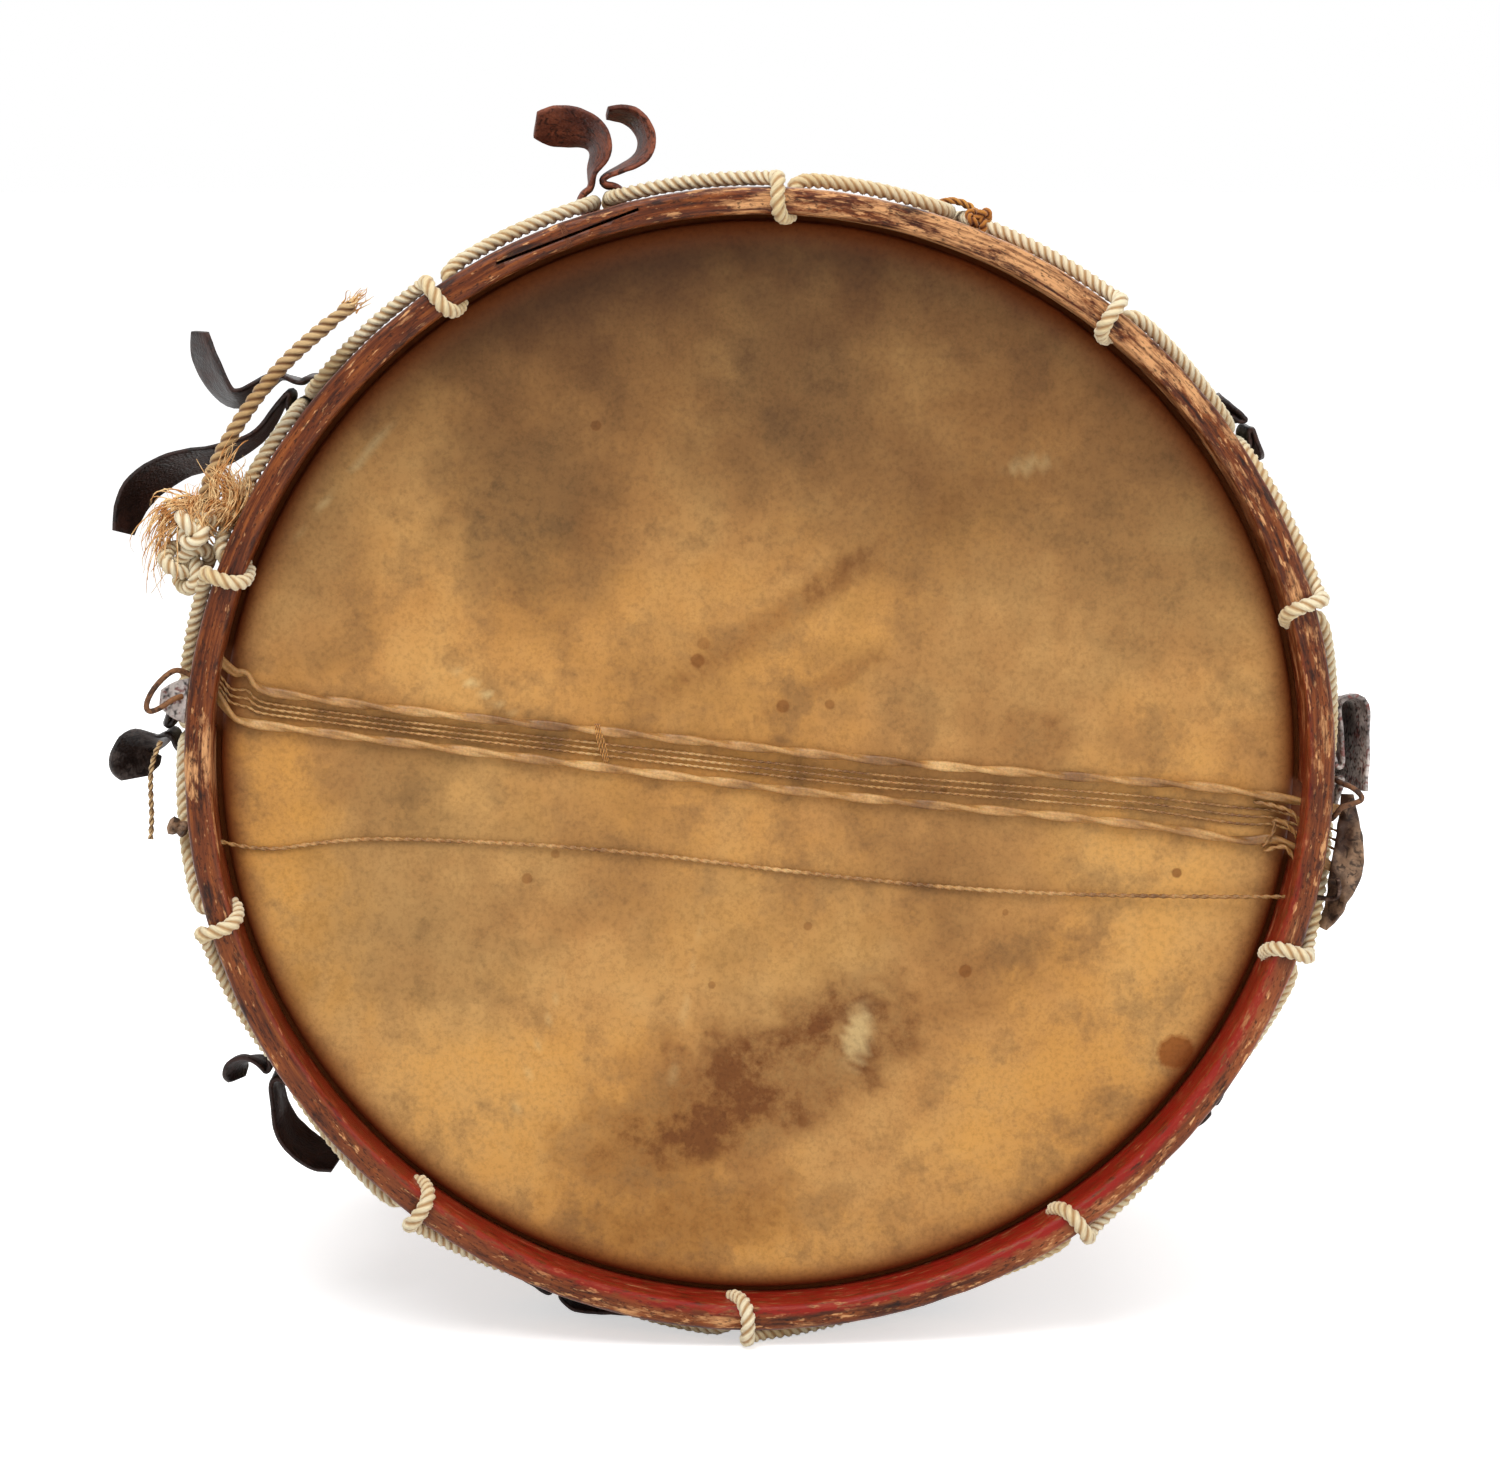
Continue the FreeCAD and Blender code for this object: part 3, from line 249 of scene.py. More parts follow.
def gridded(name, grid, ring=False, length=1.0):
    """A grid of places in metres, rows along and columns round, as a closed mesh with a UV map.

    The columns always join up. With ring the rows join too; otherwise both ends are closed with a fan.
    u goes from 0 to 1 round the columns, and v from 0 to length along the rows."""
    rows, columns = grid.shape[:2]
    v, u = np.mgrid[:rows if ring else rows - 1, :columns]
    v, u = np.stack([v, v, v + 1, v + 1], -1).reshape(-1, 4), np.stack([u, u + 1, u + 1, u], -1).reshape(-1, 4)
    uv = np.stack([u, v], -1).reshape(-1, 2) / (columns, max(rows - 1, 1)) * (1, length)
    faces = (v % rows) * columns + u % columns
    vertices = grid.reshape(-1, 3)
    first, second, third = (vertices[faces[:, corner]] - vertices.mean(0) for corner in range(3))
    volume = (first * np.cross(second, third)).sum()
    faces = faces.tolist()
    if not ring:
        here, low, high = np.arange(columns), len(vertices), len(vertices) + 1
        ahead, end = (here + 1) % columns, low - columns
        faces += np.column_stack([ahead, here, here * 0 + low]).tolist()
        faces += np.column_stack([end + here, end + ahead, here * 0 + high]).tolist()
        vertices = np.vstack([vertices, grid[0].mean(0), grid[-1].mean(0)])
        uv = np.vstack([uv, np.repeat([(0, 0), (0, length)], 3 * columns, 0)])
    made = as_object(name, vertices.tolist(), faces)
    layer = made.data.uv_layers.new(name="UVMap")
    layer.data.foreach_set("uv", uv.astype(np.float32).ravel())
    if volume < 0:
        made.data.flip_normals()
    return made


def add_values(piece, **values):
    """Stores one number for each vertex, for the finish to read."""
    for key, numbers in values.items():
        layer = piece.data.attributes.new(key, "FLOAT", "POINT")
        layer.data.foreach_set("value", np.asarray(numbers, np.float32).ravel())


def places_of(mesh):
    co = np.zeros(len(mesh.vertices) * 3)
    mesh.vertices.foreach_get("co", co)
    return co.reshape(-1, 3)
def cloud(points, size, seed, waves=20):
    """Smooth unevenness from -1 to 1: a sum of cosine waves of random headings, about size mm long."""
    random = np.random.default_rng(seed)
    headings = random.normal(size=(waves, points.shape[-1]))
    headings = unit(headings) * (2 * np.pi / size) * random.uniform(0.5, 1.5, (waves, 1))
    phases = random.uniform(0, 2 * np.pi, waves)
    return np.cos(points @ headings.T + phases).sum(-1) / math.sqrt(waves)


def joined(name, pieces):
    """Several pieces made one object."""
    with bpy.context.temp_override(active_object=pieces[0], selected_editable_objects=pieces):
        bpy.ops.object.join()
    pieces[0].name = name
    return pieces[0]


def outfit(piece, body, slot, material, *nodes):
    """Gives a finished piece its body and finish, and hides the CAD nodes it stands for. slot is not used."""
    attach(piece, body)
    if nodes:
        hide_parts(*nodes)
    piece.data.materials.clear()
    piece.data.materials.append(material)
    return piece


# %% [markdown]
# Rope is three strands laid round each other. Its line is a smooth NURBS curve through a few control points;
# the section is three overlapping circles, turned as it goes along, so the grid itself follows the strands
# and the fibres of the finish run along them.

# %% Cords along a smooth line
def cord_line(name, points, cyclic=False):
    """A curve object whose one NURBS spline has these control points, given in metres."""
    data = bpy.data.curves.new(name, "CURVE")
    data.dimensions = "3D"
    data.resolution_u = 12
    spline = data.splines.new("NURBS")
    spline.points.add(len(points) - 1)
    for place, point in zip(points, spline.points):
        point.co = (*place, 1)
    spline.order_u = 3
    spline.use_cyclic_u = cyclic
    spline.use_endpoint_u = not cyclic
    return added(name, data)


def line_places(name, points, step, cyclic=False):
    """Places a step apart along the NURBS line, in metres, and how far along each one is."""
    line = cord_line(name + "_line", points, cyclic)
    mesh = bpy.data.meshes.new_from_object(line.evaluated_get(bpy.context.evaluated_depsgraph_get()))
    route = places_of(mesh)
    bpy.data.meshes.remove(mesh)
    bpy.data.objects.remove(line)
    if cyclic:
        route = np.vstack([route, route[:1]])
    far = np.concatenate([[0], np.cumsum(np.linalg.norm(np.diff(route, axis=0), axis=1))])
    count = max(4, round(far[-1] / step))
    along = np.linspace(0, far[-1], count + 1)
    if cyclic:
        along = along[:-1]
    return np.stack([np.interp(along, far, route[:, axis]) for axis in range(3)], 1), along, far[-1]


def side_frames(route, cyclic=False):
    """For each place a pair of directions across the line, carried along it without twist."""
    ahead = unit(np.roll(route, -1, 0) - np.roll(route, 1, 0) if cyclic else np.gradient(route, axis=0))
    side = np.zeros_like(route)
    side[0] = unit(np.cross(ahead[0], (0.31, 0.17, 0.94)))
    for number in range(1, len(route)):
        side[number] = unit(side[number - 1] - ahead[number] * (ahead[number] @ side[number - 1]))
    other = np.cross(ahead, side)
    if cyclic:
        gap = math.atan2(side[0] @ other[-1], side[0] @ side[-1])
        turn = np.linspace(0, gap, len(route))[:, None]
        side, other = side * np.cos(turn) + other * np.sin(turn), other * np.cos(turn) - side * np.sin(turn)
    return side, other


def laid_section(diameter, plies, columns, strand_share=0.565):
    """Radius of a section of overlapping round strands: d cos a + sqrt(s^2 - d^2 sin^2 a) about each strand."""
    strand = diameter / 2 * (strand_share if plies > 1 else 1)
    offset = diameter / 2 - strand
    angles = np.arange(columns) / columns * 2 * np.pi
    from_strand = ((angles * plies / (2 * np.pi) + 0.5) % 1 - 0.5) * 2 * np.pi / plies
    return angles, offset * np.cos(from_strand) + np.sqrt(strand ** 2 - (offset * np.sin(from_strand)) ** 2)


def laid_cord(name, points, diameter, pitch, plies=3, columns=15, step=1.35, cyclic=False, girth=None):
    """A laid cord round a line of places (x, y, w), and its route. girth gives its thickness along the line."""
    route, along, length = line_places(name, laid(points), step * MM, cyclic)
    side, other = side_frames(route, cyclic)
    angles, radii = laid_section(diameter * MM, plies, columns)
    turns = round(length / (pitch * MM)) if cyclic else length / (pitch * MM)
    twist = 2 * np.pi * turns * along[:, None] / length + angles
    girths = np.ones((len(route), 1)) if girth is None else np.asarray(girth(along / length))[:, None]
    grid = route[:, None] + (radii * girths)[..., None] * (
        np.cos(twist)[..., None] * side[:, None] + np.sin(twist)[..., None] * other[:, None])
    made = gridded(name, grid, ring=cyclic, length=length)
    print(f"{name}: {length * 1000:.0f} mm long, {len(made.data.polygons)} faces")
    return made, route


# %% [markdown]
# The tail of the rope is free: it leaves the knot, passes behind the hoop and ends whipped and frayed. Its line
# has the same control points as its CAD solid, as radius, angle and height.

# %% Free cords: the rope's tail and the thong on the left ear
TAIL_DIAMETER, THONG_DIAMETER = 6.2, 2.4
TAIL_PLACES = [(230.6, 159.57, 140.4), (238.6, 155.0, 143.2), (240.8, 148.6, 143.5), (240.5, 141.6, 142.5),
               (238.5, 136.2, 143.0), (236.5, 131.4, 144.0)]
EAR_HEIGHT = 99.0
EAR_WIDTH, EAR_THICKNESS, LANE_SPACING = 34.0, 2.6, 6.9
TURN_STEP, FIRST_TURN = 36.0, 87.6
turn_angles = [FIRST_TURN - TURN_STEP * number for number in range(10)]
ear_angles = [angle - TURN_STEP / 2 for angle in turn_angles]

def at_ear(angle, sideways, outwards, height):
    """Places counted from the middle of the two lanes of rope that meet in an ear."""
    sideways, outwards, height = (np.asarray(v, float)[..., None] for v in (sideways, outwards, height))
    return polar(1, angle, 0) * (LANE_RADIUS + outwards) + polar(1, angle + 90, 0) * sideways + UP * height


WRAPPED_SHARE = 0.92  # how much of an ear's width its loop takes
EAR_FRONT = EAR_HEIGHT + EAR_WIDTH * WRAPPED_SHARE / 2
THONG_OFFSETS = np.array([(4.0, 9.5, 3.0), (9.0, 12.0, 3.2), (17.0, 13.4, 3.0), (26.0, 13.0, 2.8),
                          (35.0, 12.2, 3.0), (43.0, 12.6, 3.0)])
tail_places = polar(*np.array(TAIL_PLACES).T)
thong_places = at_ear(ear_angles[7], *THONG_OFFSETS[:, :2].T, EAR_FRONT + THONG_OFFSETS[:, 2])
tail_points, thong_points = laid(tail_places), laid(thong_places)

# %% [markdown]
# Cotton and hemp rope is matt and a little fuzzy. Its strands are lighter on their crowns and darker in the
# grooves between them, partly dirt and partly painted shade. The grooves come from the map's u, because it
# counts across the strands.

# %% Laid fibre finish
def laid_fibre(name, light, middle_tone, groove_dirt_and_shade, plies=3):
    """Twisted plant fibre: rough, no gloss, fibres drawn along the strands at about 0.3 mm."""
    made = finish(name, Roughness=0.92, Sheen_Weight=0.25, Specular_IOR_Level=0.25)
    uv = made.place("UV")
    wave = made.math("MULTIPLY", made.node("SeparateXYZ", {0: uv}).outputs["X"], plies * 2 * math.pi)
    # crown is 0 in the grooves between strands; there the colour is partly dirt and partly painted shade
    crown = made.remap(made.math("COSINE", wave), -1.0, 0.2)
    fibres = made.noise(uv, (60, 700, 1), 3.0)
    tone = made.ramp(made.noise(made.place(), 38.0, 4.0), (0.35, middle_tone), (0.6, light))
    fine = made.ramp(fibres, (0.3, 0.72), (0.65, 1.0))
    return made.surface(made.mixed(0.8, made.mixed(crown, groove_dirt_and_shade, tone), fine, "MULTIPLY"),
                        made.bump(fibres, 0.5, 0.0004))


hemp = laid_fibre("cream hemp rope", "#F6E8C6", "#E6CC9A", "#B58C5C")
grey_hemp = laid_fibre("weathered hemp rope", "#D8B684", "#AE8652", "#6B4524")
orange_cord = laid_fibre("orange cotton cord", "#DC9C4A", "#B8702A", "#6B3410", plies=2)

tail, tail_route = laid_cord("rope_tail_cord", tail_places, TAIL_DIAMETER, pitch=13.5, step=0.9,
                             girth=lambda share: np.interp(share, [0, 0.9, 0.93, 0.97, 1], [1, 1, 0.8, 1.0, 0.7]))
outfit(tail, "drum", "grey_cord", grey_hemp, "rope_tail")


def frayed(name, roots, tips, droop, girth=0.45, seed=1, steps=12):
    """Loose fibres: each is a thin tapering tube along root + (tip - root) t + droop 4 t (1 - t), bent at random.

    roots, tips and droop are arrays of places in mm on the upright drum, one row for each fibre."""
    random = np.random.default_rng(seed)
    roots, tips, droop = (np.asarray(v, float) for v in (roots, tips, droop))
    t = np.linspace(0, 1, steps)[None, :, None]
    bends = random.normal(size=(len(roots), 1, 3)) * np.linalg.norm(tips - roots, axis=1)[:, None, None]
    lines = (roots[:, None] + (tips - roots)[:, None] * t + droop[:, None] * 4 * t * (1 - t)
             + bends * (0.10 * np.sin(2 * np.pi * t) * t))
    around = np.arange(4) / 4 * 2 * np.pi
    across = unit(np.cross(tips - roots, (0.3, 0.5, 0.8)))
    other = unit(np.cross(tips - roots, across))
    width = girth * (1 - 0.75 * t[..., None])
    tubes = lines[:, :, None] + width * (across[:, None, None] * np.cos(around)[:, None]
                                         + other[:, None, None] * np.sin(around)[:, None])
    corner = np.arange(steps * 4).reshape(steps, 4)
    sides = np.stack([corner[:-1], corner[1:], np.roll(corner[1:], -1, 1), np.roll(corner[:-1], -1, 1)], -1)
    faces = np.vstack([sides.reshape(-1, 4), corner[:1], corner[-1:, ::-1]])
    faces = faces + np.arange(len(roots))[:, None, None] * corner.size
    return as_object(name, laid(tubes).reshape(-1, 3).tolist(), faces.reshape(-1, 4).tolist())


loose_fibre = speckled("combed-out hemp fibre", 240.0, 2.0, (0.4, "#C4874A"), (0.62, "#F4D29A"),
                       bump=(0.3, 0.0003), Roughness=0.95)
end_place = stood(tail_route[-1])
end_ahead = unit(end_place - stood(tail_route[-4]))
random = np.random.default_rng(3)
starts = end_place - end_ahead * 1.5 + random.normal(size=(26, 3)) * 1.1
stops = starts + end_ahead * random.uniform(3.5, 8, (26, 1)) + random.normal(size=(26, 3)) * 2.0
tail_fray = frayed("rope_tail_fray", starts, stops, np.zeros((26, 3)), girth=0.4, seed=4)
outfit(tail_fray, "drum", "grey_cord", loose_fibre)
thong, thong_route = laid_cord("ear_thong_cord", thong_places, THONG_DIAMETER, pitch=7, plies=2, columns=10,
                               step=0.6)
outfit(thong, "ear_7_body", "grey_cord", grey_hemp, "ear_thong")

# %% [markdown]
# The tension rope is one long rope. It goes over the rim of the front hoop, back out through a hole beside it,
# down to an ear, and straight along the shell to the other hoop. Control points stand where the CAD route has
# its corners, with one more on each long straight run, about as far from the corner as the next point is.

# %% Tension rope
HOLE_SETBACK, CORNER_ROOM = 15.6, 6.0
OVER_RIM = RIM_HEIGHT + GAP + ROPE_RADIUS
HOLE_HEIGHT = RIM_HEIGHT - HOLE_SETBACK
LEG_RADIUS = LANE_RADIUS + GAP
LANE_MOUTH = EAR_HEIGHT + EAR_WIDTH / 2 + CORNER_ROOM + ROPE_RADIUS
CLIMB = RIM_HEIGHT - RIM_ROUND - CORNER_ROOM
HALF_LANE = math.degrees(LANE_SPACING / 2 / LANE_RADIUS)
BIGHT_RADIUS = 210.6
MID_WALL = (HOOP_OUTER + HOOP_INNER) / 2
EDGE_RUN = 17.0

def slanting(start, start_height, end, end_height):
    """Two places on the slanting leg between a hoop and an ear, at thirds of the way."""
    return [(LEG_RADIUS, start + (end - start) * share, start_height + (end_height - start_height) * share)
            for share in (0.33, 0.67)]


def rope_length(turn):
    """Radius, angle and height of the control points from inside one front hole to just before the next."""
    out_lane, back_lane = (turn - TURN_STEP / 2 + side * HALF_LANE for side in (1, -1))
    hole, next_lane = turn - HALF_LANE, turn - TURN_STEP + HALF_LANE
    return [
        (MID_WALL, hole, HOLE_HEIGHT), (LANE_RADIUS, hole, HOLE_HEIGHT),
        *slanting(hole, HOLE_HEIGHT, out_lane, LANE_MOUTH),
        (LANE_RADIUS, out_lane, LANE_MOUTH), (LANE_RADIUS, out_lane, LANE_MOUTH - 2 * EDGE_RUN),
        (LANE_RADIUS, out_lane, EDGE_RUN - OVER_RIM), (LANE_RADIUS, out_lane, -OVER_RIM),
        (BIGHT_RADIUS, out_lane, -OVER_RIM), (BIGHT_RADIUS, back_lane, -HOLE_HEIGHT),
        (LANE_RADIUS, back_lane, -HOLE_HEIGHT), (LANE_RADIUS, back_lane, EDGE_RUN - HOLE_HEIGHT),
        (LANE_RADIUS, back_lane, LANE_MOUTH - 2 * EDGE_RUN), (LANE_RADIUS, back_lane, LANE_MOUTH),
        *slanting(back_lane, LANE_MOUTH, next_lane, CLIMB),
        (LANE_RADIUS, next_lane, CLIMB), (LANE_RADIUS, next_lane, OVER_RIM),
        (BIGHT_RADIUS, next_lane, OVER_RIM), (BIGHT_RADIUS, next_lane - 2 * HALF_LANE, HOLE_HEIGHT)]


rope_rows = np.array([row for turn in turn_angles for row in rope_length(turn)])
rope, _ = laid_cord("tension_rope_laid", polar(*rope_rows.T), 2 * ROPE_RADIUS, pitch=11.5, step=1.2, cyclic=True)
outfit(rope, "drum", "rope", hemp, "tension_rope")

# %% [markdown]
# The rope starts in a fat knot outside the hoop. An overhand knot whose ends are pulled in is a trefoil, so its
# line is the trefoil's formula, laid flat to face the front, with a second and smaller one tilted over it. Its
# cut ends have combed out into brushes of fibres. In the place of a missing ear, two lanes are bound with orange
# cord, wound over both, and the cord's own small knot is a trefoil too.

# %% Knot and tie
KNOT_CENTRE, KNOT_SCALE, KNOT_RISE = np.array((-221.0, 77.6, 146.0)), 3.1, 1.4
SECOND_SHIFT, SECOND_TILT, SECOND_SHARE = (3.5, 14.5, 5.0), (0.5, -0.35, 2.2), 0.72
turns = np.arange(36) / 36 * 2 * np.pi
trefoil = np.stack([np.sin(turns) + 2 * np.sin(2 * turns), np.cos(turns) - 2 * np.cos(2 * turns),
                    -KNOT_RISE * np.sin(3 * turns)], -1) * KNOT_SCALE
second = trefoil @ np.array(Euler(SECOND_TILT).to_matrix()) * SECOND_SHARE
lower, _ = laid_cord("knot_lower", KNOT_CENTRE + trefoil, 6.2, pitch=9.5, step=0.7, cyclic=True)
upper, _ = laid_cord("knot_upper", KNOT_CENTRE + SECOND_SHIFT + second, 6.0, pitch=14, step=0.7, cyclic=True)
outfit(joined("rope_knot_laid", [lower, upper]), "drum", "rope", hemp, "rope_knot")

random = np.random.default_rng(8)


def brush(count, root, spread, tip, tip_spread, droop, seed):
    """Fibres from round one place (x, y, w) to round another, all with the same droop."""
    roots = np.array(root) + random.normal(size=(count, 3)) * spread
    tips = np.array(tip) + random.normal(size=(count, 3)) * tip_spread
    return frayed(f"fibres_{seed}", roots, tips, np.tile(droop, (count, 1)), seed=seed)


brushes = [brush(150, (-206, 95, 147), (3.0, 2.5, 2), (-206, 111, 148), (4.5, 3.5, 3.0), (4.0, 1.0, 1.5), 31),
           brush(70, (-214, 90, 150), (2.5, 2.5, 2), (-214, 103, 151), (5.5, 3.0, 3.0), (-3.0, 1.5, 2.5), 32),
           brush(80, (-218, 100, 146), (2.5, 2.0, 2), (-233, 83, 146), (3.6, 7.5, 3.0), (-3.0, 5.0, 2.0), 33),
           brush(14, (-210, 100, 147), (2.0, 2.0, 1.5), (-202, 121, 148), (4.0, 5.0, 2.0), (-2, 1.5, 1.0), 34)]
outfit(joined("rope_knot_fibres", brushes), "drum", "rope", loose_fibre)

TIE_DIAMETER, TIE_TURNS, TIE_PITCH, TIE_TOP = 2.9, 5, 3.0, 116.7
TIE_RADIUS = ROPE_RADIUS + 2.1
TIE_TURN = ((30, 1), (90, 1), (90, -1), (150, -1), (210, -1), (270, -1), (270, 1), (330, 1))
degrees, lane = np.array(TIE_TURN * TIE_TURNS, float).T
drop = TIE_PITCH * np.arange(len(lane)) / len(TIE_TURN)
tie_places = at_ear(ear_angles[0], lane * LANE_SPACING / 2 + TIE_RADIUS * np.cos(np.radians(degrees)),
                    TIE_RADIUS * np.sin(np.radians(degrees)), TIE_TOP - drop)
tie, _ = laid_cord("rope_tie_cord", tie_places, TIE_DIAMETER, pitch=6.5, plies=2, columns=12, step=0.8)
outfit(tie, "drum", "orange_cord", orange_cord, "rope_tie")
TIE_KNOT_CENTRE, TIE_KNOT_SHARE = polar(225.6, 68.2, 150.0), 0.46
tie_knot, _ = laid_cord("rope_tie_knot", TIE_KNOT_CENTRE + trefoil * TIE_KNOT_SHARE, 3.6, pitch=6.5, plies=2,
                        columns=12, step=0.6, cyclic=True)
outfit(tie_knot, "drum", "orange_cord", orange_cord)

# %% [markdown]
# Both hoops are bent strips of ash or beech. A closed profile is turned about the axis: a rounded rim, the
# outer wall, the foot and the rebate that sits over the flesh hoop. Wear is added to the radius as a slow
# waviness. Holes and the joint's gap are cut with cutters afterwards.

# %% Turned surfaces
def turned_surface(name, profile, columns=360, roughen=None, over=False):
    """A closed (radius, height) profile in mm turned about the drum's axis; roughen moves its places."""
    profile = np.asarray(profile, float)
    angles = np.arange(columns) / columns * 360
    places = polar(profile[None, :, 0], angles[:, None], profile[None, :, 1])
    if roughen is not None:
        places = roughen(places)
    return gridded(name, laid(turned_over(places) if over else places), ring=True)


def softened(corners, radius=1.0, steps=4):
    """A closed outline with each corner rounded: a quarter of a circle's worth of places per corner."""
    corners = [np.asarray(c, float) for c in corners]
    outline = []
    for number, corner in enumerate(corners):
        before, after = corners[number - 1] - corner, corners[(number + 1) % len(corners)] - corner
        reach = min(radius, 0.45 * min(np.linalg.norm(before), np.linalg.norm(after)))
        start, stop = (corner + side / np.linalg.norm(side) * reach for side in (before, after))
        for share in np.linspace(0, 1, steps + 1):
            outline.append((1 - share) ** 2 * start + 2 * share * (1 - share) * corner + share ** 2 * stop)
    return np.array(outline)


def denser(outline, longest):
    """More places on the long stretches of a closed outline."""
    result = []
    for here, there in zip(outline, np.roll(outline, -1, 0)):
        count = max(1, math.ceil(np.linalg.norm(there - here) / longest))
        result += [here + (there - here) * share / count for share in range(count)]
    return np.array(result)


def cutters(name, pieces):
    """Joins the cutters' meshes into one object that isn't shown."""
    vertices, faces = [], []
    for places, quads in pieces:
        faces += [[corner + len(vertices) for corner in quad] for quad in quads]
        vertices += [tuple(place) for place in places]
    return as_object(name, vertices, faces, smooth=False)


HOLE_RADIUS, OVERCUT = 4.0, 4.0


def bored(angle, sides=16):
    """A round cutter through the hoop's wall, along the radius at an angle, at the height of the rope's holes."""
    turn = (np.arange(sides) / sides * 2 * np.pi)[:, None]
    circle = HOLE_RADIUS * (polar(1, angle + 90, 0) * np.cos(turn) + UP * np.sin(turn))
    start, end = polar([HOOP_INNER - OVERCUT, HOOP_OUTER + OVERCUT], angle, HOLE_HEIGHT)
    side_faces = [[i, (i + 1) % sides, sides + (i + 1) % sides, sides + i] for i in range(sides)]
    faces = side_faces + [list(range(sides))[::-1], list(range(sides, 2 * sides))]
    return np.vstack([start + circle, end + circle]), [face[::-1] for face in faces]


def slab(centre, ahead, length, width, low, high):
    """A box cutter round a centre (x, y), along a heading in degrees, between two heights."""
    turn = np.radians(ahead)
    along, across = np.array((np.cos(turn), np.sin(turn))), np.array((-np.sin(turn), np.cos(turn)))
    corners = [centre + along * length * a / 2 + across * width * b / 2
               for a, b in ((-1, -1), (1, -1), (1, 1), (-1, 1))]
    places = np.array([(*corner, height) for height in (low, high) for corner in corners])
    return places, [[3, 2, 1, 0], [4, 5, 6, 7], [0, 1, 5, 4], [1, 2, 6, 5], [2, 3, 7, 6], [3, 0, 4, 7]]


def without(piece, cutter):
    """The piece with the cutter taken away, its places kept in the mesh."""
    modifier = piece.modifiers.new("cut", "BOOLEAN")
    modifier.object, modifier.solver = cutter, "EXACT"
    graph = bpy.context.evaluated_depsgraph_get()
    graph.update()
    mesh = bpy.data.meshes.new_from_object(piece.evaluated_get(graph))
    piece.modifiers.clear()
    piece.data = mesh
    bpy.data.objects.remove(cutter)
    return piece


# %% [markdown]
# The rim has lost its varnish where hands and sling hooks rubbed it, and it still has red paint inside. The
# grain runs round the hoop, so the finish reads the angle times the radius, and the height, from the mesh.

# %% Ring values for wood: how far round, how far along the axis, how near the rim's edge


# (angle, share): where round the hoop the varnish is rubbed off, and where the old paint is left
WORN_AT = ((-180, 0.95), (-174, 0.3), (-150, 0.2), (-120, 0.34), (-90, 0.50), (-60, 0.46), (-30, 0.34), (0, 0.42),
           (30, 0.50), (52, 0.82), (70, 0.92), (90, 0.62), (105, 0.34), (122, 0.2), (150, 0.12), (174, 0.3),
           (180, 0.95))
PAINTED_AT = ((-180, 0.15), (-150, 0.4), (-130, 0.7), (-90, 0.9), (-60, 1.0), (-30, 0.9), (-12, 0.5), (0, 0.3),
              (20, 0.1), (60, 0.0), (120, 0.0), (180, 0.15))


def ring_values(piece, seam, over=False):
    """Stores round, height and radius in metres, and from 0 to 1 how worn and how red each place is."""
    places = stood(places_of(piece.data))
    if over:
        places = turned_over(places)
    radius = np.hypot(places[:, 0], places[:, 1])
    turn = np.arctan2(places[:, 1], places[:, 0]) - math.radians(seam)
    round_way = (turn % (2 * np.pi)) * HOOP_OUTER
    angle = np.degrees(np.arctan2(places[:, 1], places[:, 0]))
    wear, paint = (np.interp(angle, *np.array(table, float).T, period=360) for table in (WORN_AT, PAINTED_AT))
    inner_part = np.clip((HOOP_INNER + 0.8 + 3.6 * paint - radius) * 2, 0, 1) * (places[:, 2] > HOOP_FOOT + 15)
    add_values(piece, round_way=round_way * MM, height=places[:, 2] * MM, out=radius * MM, wear=wear,
               paint=paint * inner_part, warm=paint)
    return piece


SCARF_ANGLE, SCARF_SLOPE, SCARF_REACH, SCARF_DEPTH, SCARF_GAP, SCARF_INSET = 110.0, 0.8, 58.0, 30.0, 1.1, 0.6
GATES = {"left": 172.0, "right": -6.5}
GATE_WIDTH, GATE_TOP = 30.0, 149.5
hoop_profile = denser(softened([
    (215.5, HOOP_FOOT), (HOOP_OUTER, HOOP_FOOT), (HOOP_OUTER, RIM_HEIGHT), (HOOP_INNER, RIM_HEIGHT),
    (HOOP_INNER, 137.0), (215.5, 137.0)], radius=3.4, steps=5), 3.0)


def worn_hoop(seed):
    """Waves of about 0.35 mm in and out over the outside, and small dents of the rim."""
    def roughen(places):
        radius = np.hypot(places[..., 0], places[..., 1])
        slow = cloud(places, 120, seed) * 0.22 + cloud(places, 17, seed + 1) * 0.10
        dents = np.clip(cloud(places, 26, seed + 2) - 1.15, 0, 1) * 0.9
        rim_share = np.clip((places[..., 2] - 158) / 7, 0, 1)
        change = slow - dents * rim_share
        outer = radius > 213.5
        places = places.copy()
        scale = 1 + np.where(outer, change, -0.4 * change) / radius
        places[..., :2] *= scale[..., None]
        places[..., 2] -= rim_share * np.clip(-change, 0, 1) * 0.8
        return places
    return roughen


